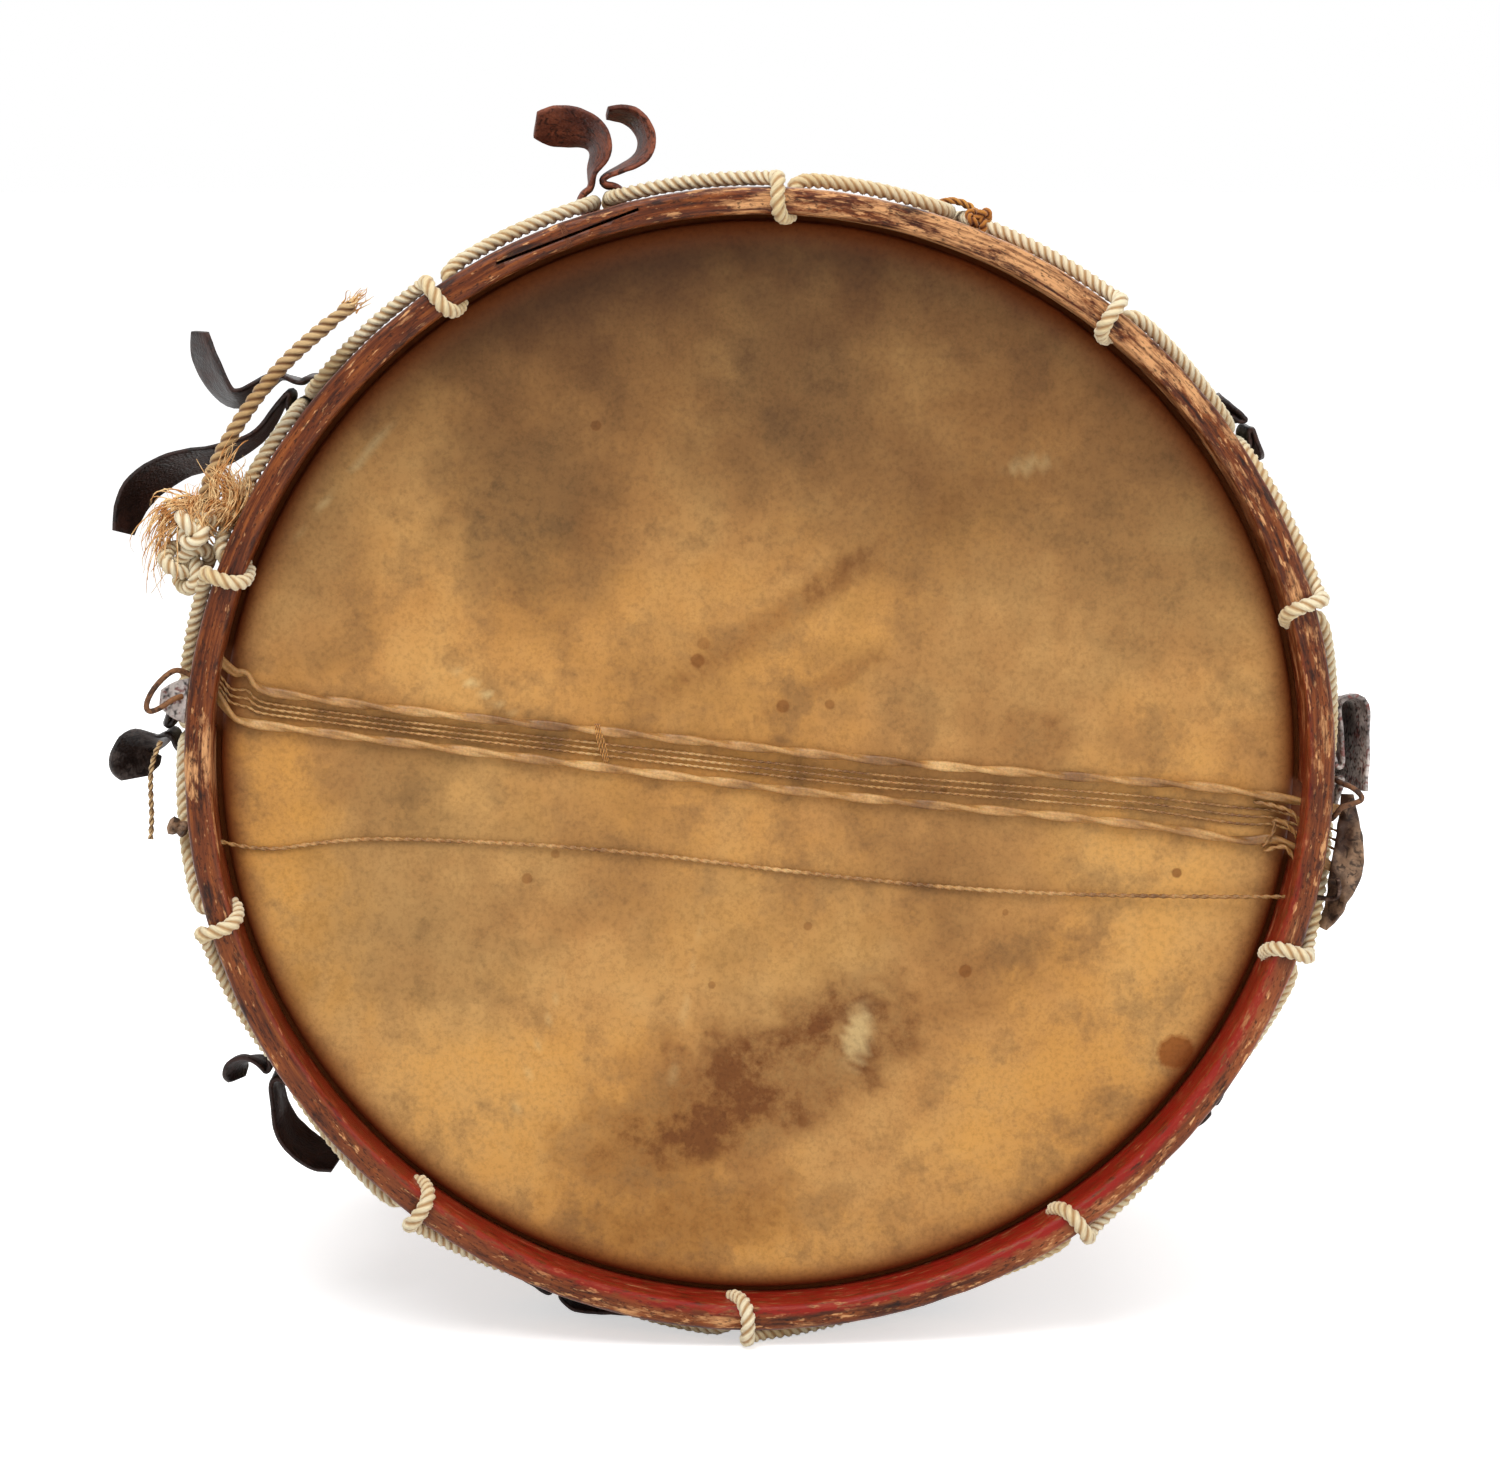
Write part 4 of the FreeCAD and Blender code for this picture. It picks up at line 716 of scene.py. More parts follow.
def counterhoop(name, over, hole_angles, gates, scarf, seed):
    hoop = turned_surface(name, hoop_profile, columns=600, roughen=worn_hoop(seed))
    slabs = [slab(polar(MID_WALL - SCARF_INSET, scarf, 0)[:2], scarf + 90 + SCARF_SLOPE, SCARF_REACH,
                  SCARF_GAP, RIM_HEIGHT - SCARF_DEPTH, RIM_HEIGHT + OVERCUT)]
    slabs += [slab(polar(MID_WALL, angle, 0)[:2], angle + 90, GATE_WIDTH, 20, HOOP_FOOT - OVERCUT, GATE_TOP)
              for angle in gates]
    for pieces in (slabs, [bored(angle) for angle in hole_angles]):
        without(hoop, cutters(name + "_cutter", [(laid(places), faces) for places, faces in pieces]))
    if over:
        upright = turned_over(stood(places_of(hoop.data)))
        hoop.data.vertices.foreach_set("co", laid(upright).astype(np.float32).ravel())
    hoop.data.polygons.foreach_set("use_smooth", np.ones(len(hoop.data.polygons), bool))
    hoop.data.update()
    ring_values(hoop, scarf, over)
    print(f"{name}: {len(hoop.data.polygons)} faces")
    return hoop


def hoop_wood(name, dark, wood, light, worn, warm, paint):
    """Old varnished ash: glossy brown varnish, grain of 1 to 2 mm, scuffs down to pale wood, flakes of paint."""
    made = finish(name, Roughness=0.4, Specular_IOR_Level=0.2)
    way = made.node("CombineXYZ", enumerate(made.value(key) for key in ("round_way", "height", "out"))).outputs[0]
    wear = made.value("wear")
    grain = made.noise(way, (40, 700, 700), 5.0, 0.6)
    patches = made.noise(way, (45, 190, 190), 7.0, 0.68)
    scuffs = made.noise(way, (130, 520, 520), 3.0, 0.6)
    specks = made.noise(way, (420, 1300, 1300), 2.0, 0.6)
    slow = made.remap(made.noise(way, (9, 30, 30), 3.0, 0.6), 0.4, 0.62, 0.1, 0.8)

    def rubbed(pattern, pull, low, high, most):
        return made.remap(made.math("MULTIPLY_ADD", wear, pull, pattern), low, high, 0.0, most)

    bare = made.math("MAXIMUM", rubbed(patches, 0.30, 0.68, 0.80, 0.85), rubbed(scuffs, 0.16, 0.66, 0.72, 0.8))
    red = made.math("MULTIPLY", made.value("paint"), made.remap(scuffs, 0.38, 0.50, 0.15, 1.0))
    shade = made.ramp(grain, (0.30, dark), (0.50, wood), (0.72, light))
    for share, colour in ((made.math("MULTIPLY", slow, made.value("warm")), warm),
                          (bare, made.ramp(grain, (0.34, wood), (0.52, worn))),
                          (made.remap(patches, 0.35, 0.46, 0.9, 0.0), dark),
                          (made.remap(specks, 0.56, 0.68, 0.0, 0.75), dark), (red, paint)):
        shade = made.mixed(share, shade, colour)
    return made.surface(shade, made.bump(made.math("ADD", grain, patches), 0.5, 0.0007),
                        made.remap(bare, 0, 1, 0.34, 0.62))


hoop_finish = hoop_wood("worn varnished ash", "#1C0802", "#5E2A0E", "#8C4C20", "#D8A06C", "#96502C", "#8C1A10")
snare_hoop = counterhoop("snare_hoop_worn", False, [angle - HALF_LANE for angle in turn_angles],
                         GATES.values(), SCARF_ANGLE, 11)
outfit(snare_hoop, "drum", "hoop_wood", hoop_finish, "snare_counterhoop")
batter_hoop = counterhoop("batter_hoop_worn", True, [HALF_LANE - angle for angle in ear_angles], (),
                          -SCARF_ANGLE, 47)
outfit(batter_hoop, "drum", "hoop_wood", hoop_finish, "batter_counterhoop")

# %% [markdown]
# A calfskin head is wetted, lapped round its flesh hoop and dried: it comes out flat, rolls over the shell's
# edge and turns brown where it is thin and handled. Its colour is a map of an old hide, so soft stains are
# laid down as ellipses with uneven borders, and finer mottling comes from noise. Painted shade darkens the
# skin where it rolls down beside the hoop, and the upper part of the head is darker, partly the hide's own
# tone and partly painted shade under the rim.

# %% Heads
SKIN_TOP = HALF_SHELL + SKIN
FLESH_OUT, FLESH_TOP, FLESH_LOW = 214.7, 136.7, 125.3
ROLL_START, WALL_OUT, ROLL_DROP = 201.2, 209.2, 4.6
head_profile = np.vstack([
    [(radius, SKIN_TOP - 0.4 * math.sin(math.pi * min(radius, 180) / 180)) for radius in np.linspace(0, 199, 74)],
    [(ROLL_START + (WALL_OUT - ROLL_START) * math.sin(a), SKIN_TOP - ROLL_DROP * (1 - math.cos(a)))
     for a in np.linspace(0, np.pi / 2, 10)],
    [(209.3, 138.0), (210.2, 137.0), (213.5, FLESH_TOP), (FLESH_OUT, FLESH_TOP - 1.2), (FLESH_OUT, 127.0),
     (213.6, FLESH_LOW), (209.6, FLESH_LOW), (208.7, 127.0), (208.45, 141.4), (204.4, 145.05)],
    [(radius, SKIN_TOP - 0.75) for radius in np.linspace(199, 0, 10)],
])


def closed_poles(piece):
    """Welds the places that meet on the axis into one, and drops the edges that then carry no face."""
    mesh = bmesh.new()
    mesh.from_mesh(piece.data)
    bmesh.ops.remove_doubles(mesh, verts=mesh.verts, dist=1e-6)
    bmesh.ops.delete(mesh, geom=[edge for edge in mesh.edges if not edge.link_faces], context="EDGES")
    mesh.to_mesh(piece.data)
    mesh.free()
    return piece


def head(name, over, seed):
    def roughen(places):
        places = places.copy()
        radius = np.hypot(places[..., 0], places[..., 1])
        flat = np.clip((200 - radius) / 60, 0, 1)
        places[..., 2] += 0.22 * cloud(places[..., :2], 90, seed) * flat
        return places
    return closed_poles(turned_surface(name, head_profile, columns=256, roughen=roughen, over=over))

def stain(places, centre, reach, slant, strength, seed):
    """From 0 to its strength: an ellipse (mm), turned by a slant, whose border wanders by a third of its size."""
    across, up = places[:, 0] - centre[0], places[:, 1] - centre[1]
    turn = math.radians(slant)
    u = (across * math.cos(turn) + up * math.sin(turn)) / reach[0]
    v = (up * math.cos(turn) - across * math.sin(turn)) / reach[1]
    edge = (np.hypot(u, v) + 0.20 * cloud(places[:, :2], min(reach) * 0.9, seed)
            + 0.08 * cloud(places[:, :2], min(reach) * 0.3, seed + 1))
    return strength / (1 + np.exp(np.minimum((edge - 1) * 6, 50)))


# centre, reach, slant and strength of each soft patch, seen from the front
BROWN_STAINS = [((-2, -127), (62, 25), 24, 0.95), ((38, -106), (22, 15), 20, 0.8), ((18, 62), (70, 6), 33, 0.35),
                ((5, 55), (36, 5), 30, 0.5), ((22, 28), (26, 4), 28, 0.5), ((88, 120), (60, 18), 10, 0.25),
                ((-40, -150), (40, 18), 12, 0.6), ((30, 75), (16, 4), 30, 0.5), ((108, 10), (14, 9), 0, 0.5),
                ((-24, -181), (46, 14), 8, 0.6)]
GREY_STAINS = [((-93, 100), (30, 34), 10, 0.95), ((14, 146), (34, 26), -60, 0.95), ((-10, 118), (26, 20), 0, 0.4),
               ((70, 92), (60, 30), -20, 0.5), ((155, 80), (44, 40), 0, 0.7), ((-150, -50), (46, 34), 60, 0.5),
               ((80, 30), (60, 26), -15, 0.35), ((-60, -40), (70, 26), -30, 0.35), ((60, -50), (70, 30), 30, 0.35),
               ((-30, 30), (30, 26), 0, 0.3), ((-120, -75), (34, 26), 0, 0.5), ((-140, -4), (26, 22), 0, 0.6),
               ((-172, 78), (20, 40), 10, 0.5)]
# the last gold patch, a thin band along the bottom edge, is partly the hide's colour and partly painted light on
# that edge
GOLD_STAINS_AND_LIT_EDGE = [((-182, -40), (22, 60), 12, 1.0), ((-70, -150), (70, 42), -25, 0.8),
               ((120, -140), (60, 40), 40, 0.8),
               ((-20, 20), (60, 50), 40, 0.5), ((-110, 40), (50, 60), 30, 0.4), ((0, -60), (50, 30), 0, 0.45),
               ((150, -40), (36, 60), -20, 0.6), ((40, 60), (80, 20), 40, 0.4), ((-30, -190), (70, 18), 0, 0.8)]
# centre and radius of each small round mark
SPOTS = [((163.6, -115.6), 6.6, 0.9), ((-24.3, 39.4), 2.8, 0.75), ((8.6, 21.5), 2.4, 0.7), ((27, 22), 2.0, 0.6),
         ((163.2, -44.8), 2.1, 0.8), ((80.2, -83.1), 2.6, 0.8), ((-63.4, 130.6), 1.9, 0.7),
         ((-91, -45.6), 2.0, 0.6),
         ((-80, -36), 2.0, 0.5), ((71.6, -12), 1.5, 0.5), ((-19, -88), 1.5, 0.5), ((18.5, -65), 1.6, 0.5),
         ((-22, 46), 2.4, 0.4), ((96, -60), 1.4, 0.5)]
SCRATCHES = [((-158, 113), (26, 0.7), 50, 0.8), ((-107, 27), (14, 0.8), -38, 0.8), ((104, 115), (9, 2.2), 10, 0.6),
             ((38, -108), (5, 10), -10, 0.75), ((-90, -120), (30, 0.5), 70, 0.35),
             ((-30, -100), (40, 0.5), 80, 0.25)]


def patched(places, patches, seed):
    """How much each place takes of one kind of patch: the patches cover each other like washes of colour."""
    left = np.ones(len(places))
    for number, (centre, reach, slant, strength) in enumerate(patches):
        left *= 1 - stain(places, centre, reach, slant, strength, seed + 7 * number)
    return 1 - left


def head_values(piece, over, seed):
    places = stood(places_of(piece.data))
    if over:
        places = turned_over(places)
    radius = np.hypot(places[:, 0], places[:, 1])
    up_side = -places[:, 1] if over else places[:, 1]
    lists = (BROWN_STAINS, GREY_STAINS, GOLD_STAINS_AND_LIT_EDGE)
    if over:
        lists = [[((-x, y * 0.8), reach, -slant, strength * 0.8) for (x, y), reach, slant, strength in patches]
                 for patches in lists]
    brown, grey, gold = (patched(places, patches, seed + 100 * number) for number, patches in enumerate(lists))
    # rim: painted shade on the skin where it rolls down beside the hoop. top: darker towards the top, partly the
    # hide's tone and partly painted shade under the rim
    rim = np.clip((radius - 197) / 11, 0, 1) ** 1.5
    top = np.clip((up_side - 55) / 140, 0, 1)
    add_values(piece, brown=brown, grey=grey, gold=gold, rim=rim, top=top,
               scratch=patched(places, [] if over else SCRATCHES, seed + 400))
    return piece


def calfskin(name, spots):
    """Old calfskin: tan to gold, olive grey where mould has been, waxy, 1 mm speckle of hair holes."""
    made = finish(name, Roughness=0.55, Subsurface_Weight=0.0, Specular_IOR_Level=0.15)
    place = made.place()
    wide = made.noise(place, 11.0, 9.0, 0.62)
    mottle = made.noise(place, 42.0, 8.0, 0.7)
    speckle = made.noise(place, 520.0, 3.0, 0.7)
    broken = made.remap(mottle, 0.36, 0.60, 0.25, 1.15)
    shade = made.ramp(wide, (0.30, "#8C6034"), (0.47, "#B2814A"), (0.62, "#C4965A"))
    for key, colour, amount in (("gold", "#CC9348", 0.75), ("grey", "#6E5232", 0.85), ("brown", "#6E421F", 0.95)):
        share = made.math("MULTIPLY", made.value(key), broken)
        shade = made.mixed(made.math("MULTIPLY", share, amount, clamp=True), shade, colour)
    shade = made.mixed(made.ramp(mottle, (0.36, 0.45), (0.50, 0.0)), shade, "#6E5030")
    for number, ((x, y), radius, strength) in enumerate(spots):
        far = made.node("VectorMath", {0: place, 1: tuple(laid((x, y, SKIN_TOP)))}, operation="DISTANCE")
        ragged = made.math("MULTIPLY_ADD", mottle, radius * MM * 1.4, far.outputs["Value"])
        mark = made.remap(ragged, radius * MM * 1.85, radius * MM * 1.55, 0.0, strength)
        shade = made.mixed(mark, shade, "#8C4F1C" if number == 0 else "#7A4A20")
    # painted shade: the skin darkens towards the top (partly the hide's own tone too) and towards the hoop at its
    # edge
    top = made.math("MULTIPLY", made.value("top"), made.remap(wide, 0.3, 0.7, 1.15, 0.75), clamp=True)
    for share, colour in ((made.value("scratch"), "#CDB07A"), (top, "#4A2E18"), (made.value("rim"), "#7A401E")):
        shade = made.mixed(share, shade, colour)
    shade = made.mixed(1.0, shade, made.ramp(speckle, (0.33, 0.80), (0.55, 1.0)), "MULTIPLY")
    return made.surface(shade, made.bump(mottle, 0.3, 0.0010, made.bump(speckle, 0.25, 0.0003)),
                        made.remap(mottle, 0.3, 0.7, 0.46, 0.66))


snare_skin = head_values(head("snare_head_skin", False, 5), False, 21)
outfit(snare_skin, "drum", "calfskin", calfskin("old calfskin", SPOTS), "snare_head")
batter_skin = head_values(head("batter_head_skin", True, 6), True, 300)
outfit(batter_skin, "drum", "calfskin", calfskin("old calfskin of the batter head", []), "batter_head")

# %% [markdown]
# The shell is one bent board with its ends lapped and tacked. It is seen from the sides, between the lanes of
# rope: dark varnished wood, grain running round. The CAD node's own mesh is cut into loose triangles, so a
# copy is joined up and smoothed.

# %% Shell and the plain wooden rings


def joined_copy(label, seam=0.0):
    """A copy of a CAD node with its doubled places joined, its edges kept sharp, and ring values stored."""
    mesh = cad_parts[label].data.copy()
    work = bmesh.new()
    work.from_mesh(mesh)
    bmesh.ops.remove_doubles(work, verts=work.verts, dist=1e-6)
    bmesh.ops.recalc_face_normals(work, faces=work.faces)
    for edge in work.edges:
        edge.smooth = edge.is_manifold and edge.calc_face_angle(0) < math.radians(32)
    for face in work.faces:
        face.smooth = True
    work.to_mesh(mesh)
    work.free()
    made = added(label + "_finished", mesh)
    bevel = made.modifiers.new("soft edges", "BEVEL")
    bevel.width, bevel.segments, bevel.limit_method = 0.0004, 1, "ANGLE"
    return ring_values(made, seam)


def shell_wood(name, wood, light, dark):
    """Varnished maple or ash board: 2 mm grain round the shell, scuffs and darker handling marks."""
    made = finish(name, Roughness=0.38)
    grain = made.noise(made.place(), (9, 260, 9), 6.0, distortion=0.4)
    marks = made.noise(made.place(), 16.0, 7.0, 0.7)
    shade = made.mixed(made.ramp(marks, (0.36, 0.8), (0.5, 0.0)),
                       made.ramp(grain, (0.34, dark), (0.5, wood), (0.68, light)), dark)
    return made.surface(shade, made.bump(grain, 0.25, 0.0004), made.remap(marks, 0.35, 0.65, 0.5, 0.3))


varnished = shell_wood("varnished maple board", "#6B3D1E", "#8A5428", "#3A2010")
bare_wood = shell_wood("bare ash", "#A88358", "#BF9A6C", "#7A5936")
outfit(joined_copy("shell"), "drum", "shell_wood", varnished, "shell")
for label in ("reinforcing_ring_snare", "reinforcing_ring_batter", "snare_flesh_hoop", "batter_flesh_hoop"):
    outfit(joined_copy(label), "drum", "inner_wood", bare_wood, label)

# %% [markdown]
# Domed brass tacks hold the shell's lap, and a turned bone bush lines the vent hole. Both are turned shapes
# on an axis that points straight out of the shell.

# %% Small turned parts

def turned_part(name, profile, angle, height, columns, ring=False):
    """(radius, out) outline in mm turned about an axis that points out of the shell at this place."""
    radius, out = np.asarray(profile, float).T[..., None, None]
    turn = (np.arange(columns) / columns * 2 * np.pi)[:, None]
    grid = (polar(1, angle, 0) * (SHELL_RADIUS + out) + UP * height
            + (polar(1, angle + 90, 0) * np.cos(turn) + UP * np.sin(turn)) * radius)
    return gridded(name, laid(np.swapaxes(grid, 0, 1) if ring else grid), ring)


SEAM_ANGLE, VENT_ANGLE = 129.6, 51.6
TACKS, TACK_STEP = 7, 26.0
dome = [(0.2, -4.0), (0.9, -3.9), (0.9, 0.0), (3.2, 0.0)] + [
    (3.2 * math.cos(a), 0.15 + 1.5 * math.sin(a)) for a in np.linspace(0, 1.45, 7)] + [(0.1, 1.65)]
tacks = [turned_part(f"tack_{n}", dome, SEAM_ANGLE, TACK_STEP * (n - TACKS // 2), 20) for n in range(TACKS)]
tarnish = speckled("tarnished brass", 300.0, 5.0, (0.38, "#4A3416"), (0.56, "#A88643"), (0.7, "#C9A860"),
                   Metallic=1.0, Roughness=0.42)
outfit(joined("seam_tack_domes", tacks), "drum", "brass", tarnish, "seam_tacks")

bush = [(6.0, -6.0), (7.5, -6.0), (7.6, 0.2), (9.6, 0.35), (10.0, 0.8), (9.8, 1.3), (8.6, 1.75), (7.2, 1.6),
        (6.3, 1.2), (6.0, 0.6)]
bone = speckled("polished bone", 420.0, 4.0, (0.35, "#A98F62"), (0.6, "#DCCBA2"), Roughness=0.35,
                Subsurface_Weight=0.1)
outfit(turned_part("vent_bush_turned", bush, VENT_ANGLE, 0, 48, ring=True), "drum", "bone", bone, "vent_grommet")

# %% [markdown]
# An ear is one strap of leather folded round two lanes of rope. It is swept along a smooth line: the section
# is a flat oval with square-ish edges, and its width lies along the drum, turned where the real strap twists.
# Dry leather curls and cracks, so slow waves bend its face and small ones crease it.

# %% Straps


def smooth_line(rows, count):
    """A cubic B-spline through rows of numbers: each sample weighs four neighbouring rows."""
    rows = np.asarray(rows, float)
    rows = np.vstack([2 * rows[0] - rows[1], rows, 2 * rows[-1] - rows[-2]])
    u = np.linspace(0, len(rows) - 3 - 1e-9, count)
    first = u.astype(int)
    t = (u - first)[:, None]
    weights = ((1 - t) ** 3, 3 * t ** 3 - 6 * t ** 2 + 4, -3 * t ** 3 + 3 * t ** 2 + 3 * t + 1, t ** 3)
    return sum(w * rows[first + k] for k, w in enumerate(weights)) / 6


def strap(name, centres, widths, twists, thickness, seed, count=110, columns=40, crease=0.35, way=UP):
    """A leather strap in mm on the upright drum: centres (x, y, w), widths, and twists in degrees."""
    line = smooth_line(np.column_stack([centres, widths, twists]), count)
    route, width, twist = line[:, :3], line[:, 3], np.radians(line[:, 4])
    ahead = unit(np.gradient(route, axis=0))
    flat = unit(way - ahead * (ahead @ way)[:, None])
    side = flat * np.cos(twist)[:, None] + np.cross(ahead, flat) * np.sin(twist)[:, None]
    face = np.cross(ahead, side)
    angles = np.arange(columns) / columns * 2 * np.pi
    across = np.sign(np.cos(angles)) * np.abs(np.cos(angles)) ** 0.55
    through = np.sign(np.sin(angles)) * np.abs(np.sin(angles)) ** 0.45
    middle_face = route[:, None] + side[:, None] * (across * width[:, None] / 2)[..., None]
    bend = crease * (cloud(middle_face, 26, seed) + 0.3 * cloud(middle_face, 7, seed + 1))
    made = gridded(name, laid(middle_face + face[:, None] * (through * thickness / 2 + bend)[..., None]))
    print(f"{name}: {np.linalg.norm(np.diff(route, axis=0), axis=1).sum():.0f} mm of strap")
    return made


def leather(name, hide, worn, crack, pebble, gloss, grout=0.25):
    """Vegetable-tanned leather, dry with age: pebbled, darker between the pebbles, with paler worn patches, which
    in some hides are partly painted glints.
    """
    made = finish(name, Roughness=gloss, Specular_IOR_Level=0.3)
    place = made.place()
    cells = made.node("TexVoronoi", {0: place, "Scale": pebble}, feature="SMOOTH_F1").outputs["Distance"]
    patches = made.noise(place, 70.0, 7.0, 0.65)
    creases = made.noise(place, 260.0, 5.0, distortion=1.2)
    shade = made.ramp(patches, (0.42, hide), (0.66, worn))
    shade = made.mixed(made.ramp(creases, (0.38, 0.8), (0.47, 0.0)), shade, crack)
    shade = made.mixed(made.remap(cells, 0.42, 0.7, 0.0, grout), shade, "#140A08")
    return made.surface(shade, made.bump(creases, 0.5, 0.0008, made.bump(cells, 0.5, 0.0006)),
                        made.remap(patches, 0.35, 0.7, gloss, min(1.0, gloss + 0.2)))


dark_leather = leather("black-brown harness leather", "#1F120F", "#3A2018", "#0D0706", 900.0, 0.45)
red_leather = leather("reddish bridle leather", "#54281C", "#96543A", "#24100B", 900.0, 0.5)
# grey leather: its whitish patches are partly wear and partly painted glints on the strap's face
grey_leather = leather("grey pebbled leather", "#8A807C", "#DCD2CC", "#7A342C", 760.0, 0.42, grout=0.9)
# black leather: its grey patches are partly wear and partly painted glints
black_leather = leather("black pebbled leather", "#1E1614", "#6A605C", "#0C0808", 760.0, 0.38, grout=0.7)
TUCKED, TUCKED_BACK = ((0, 85), (0.3, 106), (1, 98)), ((0, -85), (0.3, -106), (1, -98))
# an end is (length share, way, degrees towards the front, twist); a way is (share of its length, heading) pairs
EAR_ENDS = {
    "ear_1": ((0.35, TUCKED_BACK, 0, 0), (0.35, TUCKED, 0, 0)),
    "ear_2": ((0.4, TUCKED_BACK, 0, 0), (1.85, ((0, 84), (0.34, 104), (0.53, -90), (1, -94)), 4, -14)),
    "ear_3": ((0.45, TUCKED_BACK, 0, 0), (0.45, TUCKED, 0, 0)),
    "ear_4": ((0.5, TUCKED_BACK, 0, 0), (0.6, TUCKED, 0, 0)),
    "ear_5": ((0.5, TUCKED_BACK, 0, 0), (2.0, ((0, 50), (0.3, 80), (1, 108)), 24, 0)),
    "ear_6": ((0.55, ((0, -70), (0.4, -50), (0.7, 30), (1, 80)), 4, 20),
              (1.2, ((0, 60), (0.3, 66), (0.55, 98), (0.8, 114), (1, 126)), 8, 20)),
    "ear_7": ((0.3, TUCKED_BACK, 0, 0),
              (0.7, ((0, 76), (0.2, 20), (0.42, 4), (0.54, 70), (0.85, 90), (1, 110)), 4, 56)),
    "ear_8": ((1.5, ((0, 0), (0.08, 12), (0.18, 76), (0.34, 76), (0.46, 45), (0.56, -15), (0.8, -32), (1, -50)),
               6, 30),
              (2.35, ((0, 85), (0.15, 112), (0.25, 66), (0.6, 47), (0.8, 90), (1, 128)), 6, 34)),
    "ear_9": ((1.2, ((0, -75), (0.34, -80), (0.5, -20), (0.75, 35), (1, 95)), 6, 18),
              (1.1, ((0, -5), (0.1, -16), (0.2, -60), (0.36, 10), (0.6, 62), (1, 76)), 10, 44)),
}
EAR_HIDES = {"ear_2": (grey_leather, "grey_leather"), "ear_5": (dark_leather, "red_leather"),
             "ear_7": (black_leather, "grey_leather"), "ear_8": (dark_leather, "red_leather"),
             "ear_9": (red_leather, "red_leather")}
END_WIDTHS = (0.96, 1.0, 1.0, 0.97, 0.92, 0.84, 0.68, 0.38)
BLUNT_WIDTHS = (0.96, 1.0, 1.0, 1.0, 1.0, 1.0, 1.0, 0.98)
BLUNT_EARS = ("ear_2", "ear_5")
EAR_END_LENGTH = 40.0
STRAP_HALF = EAR_THICKNESS / 2
LOOP_ACROSS = LANE_SPACING / 2 + ROPE_RADIUS + GAP + STRAP_HALF
LOOP_OUT = ROPE_RADIUS + GAP + STRAP_HALF
NECK = STRAP_HALF + 0.25
BEND = LOOP_OUT * 0.62
LOOSENESS = 1.07  # how much wider the loop stands than its rope


def ground_under(height):
    return -LYING_DEPTH + (RIM_HEIGHT - height) * math.tan(LEAN)


def ear_end(angle, side, end, widths):
    """Places, widths and twists of one loose end, from the neck to the tip, much as the CAD source has them."""
    length_share, way, forward_way, twist = end
    count = len(END_WIDTHS)
    share = np.arange(1, count + 1) / count
    turn = np.interp(share - 1 / 2 / count, *np.array(way, float).T)
    lift = np.radians(forward_way * share)[:, None]
    steps = (polar(1, angle + turn, 0) * np.cos(lift) + UP * np.sin(lift)) * EAR_END_LENGTH * length_share / count
    places = at_ear(angle, side * NECK, LOOP_OUT + BEND, EAR_HEIGHT) + np.cumsum(steps, 0)
    ground = ground_under(places[:, 2]) + STRAP_HALF + EAR_WIDTH * math.tan(LEAN) + 0.5
    places[:, 1] = np.maximum(places[:, 1], ground)
    return np.column_stack([places, EAR_WIDTH * np.array(widths), side * twist * share])


def ear(label, angle, first_end, second_end, seed):
    half = [(NECK, LOOP_OUT + BEND), (NECK + BEND / 2, LOOP_OUT), (LOOP_ACROSS - BEND, LOOP_OUT),
            (LOOP_ACROSS, LOOP_OUT - BEND), (LOOP_ACROSS, BEND - LOOP_OUT), (LOOP_ACROSS - BEND, -LOOP_OUT)]
    across, out = np.array([(-across, out) for across, out in half] + half[::-1]).T * LOOSENESS
    loop = np.column_stack([at_ear(angle, across, out, EAR_HEIGHT), np.full(len(out), EAR_WIDTH * WRAPPED_SHARE),
                            np.zeros(len(out))])
    widths = BLUNT_WIDTHS if label in BLUNT_EARS else END_WIDTHS
    rows = np.vstack([ear_end(angle, -1, first_end, widths)[::-1], loop, ear_end(angle, 1, second_end, widths)])
    return strap(label + "_strap", rows[:, :3], rows[:, 3], rows[:, 4], EAR_THICKNESS, seed)


for number, ((label, ends), angle) in enumerate(zip(EAR_ENDS.items(), ear_angles[1:])):
    hide, slot = EAR_HIDES.get(label, (dark_leather, "dark_leather"))
    outfit(ear(label, angle, *ends, seed=60 + number), label + "_body", slot, hide, label)

# %% [markdown]
# The snares are gut. Two thick pairs are twisted round each other, three thin ones run between them, and one
# has come loose and sags. All of them pass out under the hoop through its two gates.

# %% Snares
UPPER = [(-1.0, 0.205), (-0.968, 0.165), (-0.938, 0.172), (-0.922, 0.138), (-0.86, 0.127), (-0.62, 0.094),
         (-0.28, 0.058), (0.26, -0.004), (0.64, -0.034), (0.90, -0.056), (1.0, -0.078)]
LOWER = [(-1.0, 0.135), (-0.975, 0.092), (-0.945, 0.076), (-0.86, 0.066), (-0.70, 0.044), (-0.28, -0.010),
         (0.19, -0.070), (0.72, -0.118), (0.90, -0.156), (0.96, -0.140), (1.0, -0.165)]
LOOSE = [(-0.989, -0.147), (-0.94, -0.166), (-0.79, -0.142), (-0.66, -0.138), (-0.28, -0.160), (0.08, -0.208),
         (0.46, -0.248), (0.92, -0.256), (0.967, -0.254)]
LOOSE_RISE = (0, 0, 0, 0, 0, 0, 0, 0.5, 1)
PAIR_DIAMETER, THIN_SNARE, LOOSE_DIAMETER = 4.0, 1.3, 2.0
SNARE_FLOOR = SKIN_TOP + GAP
LIFT = 6.2  # how far a rise of 1 lifts a strand off the skin


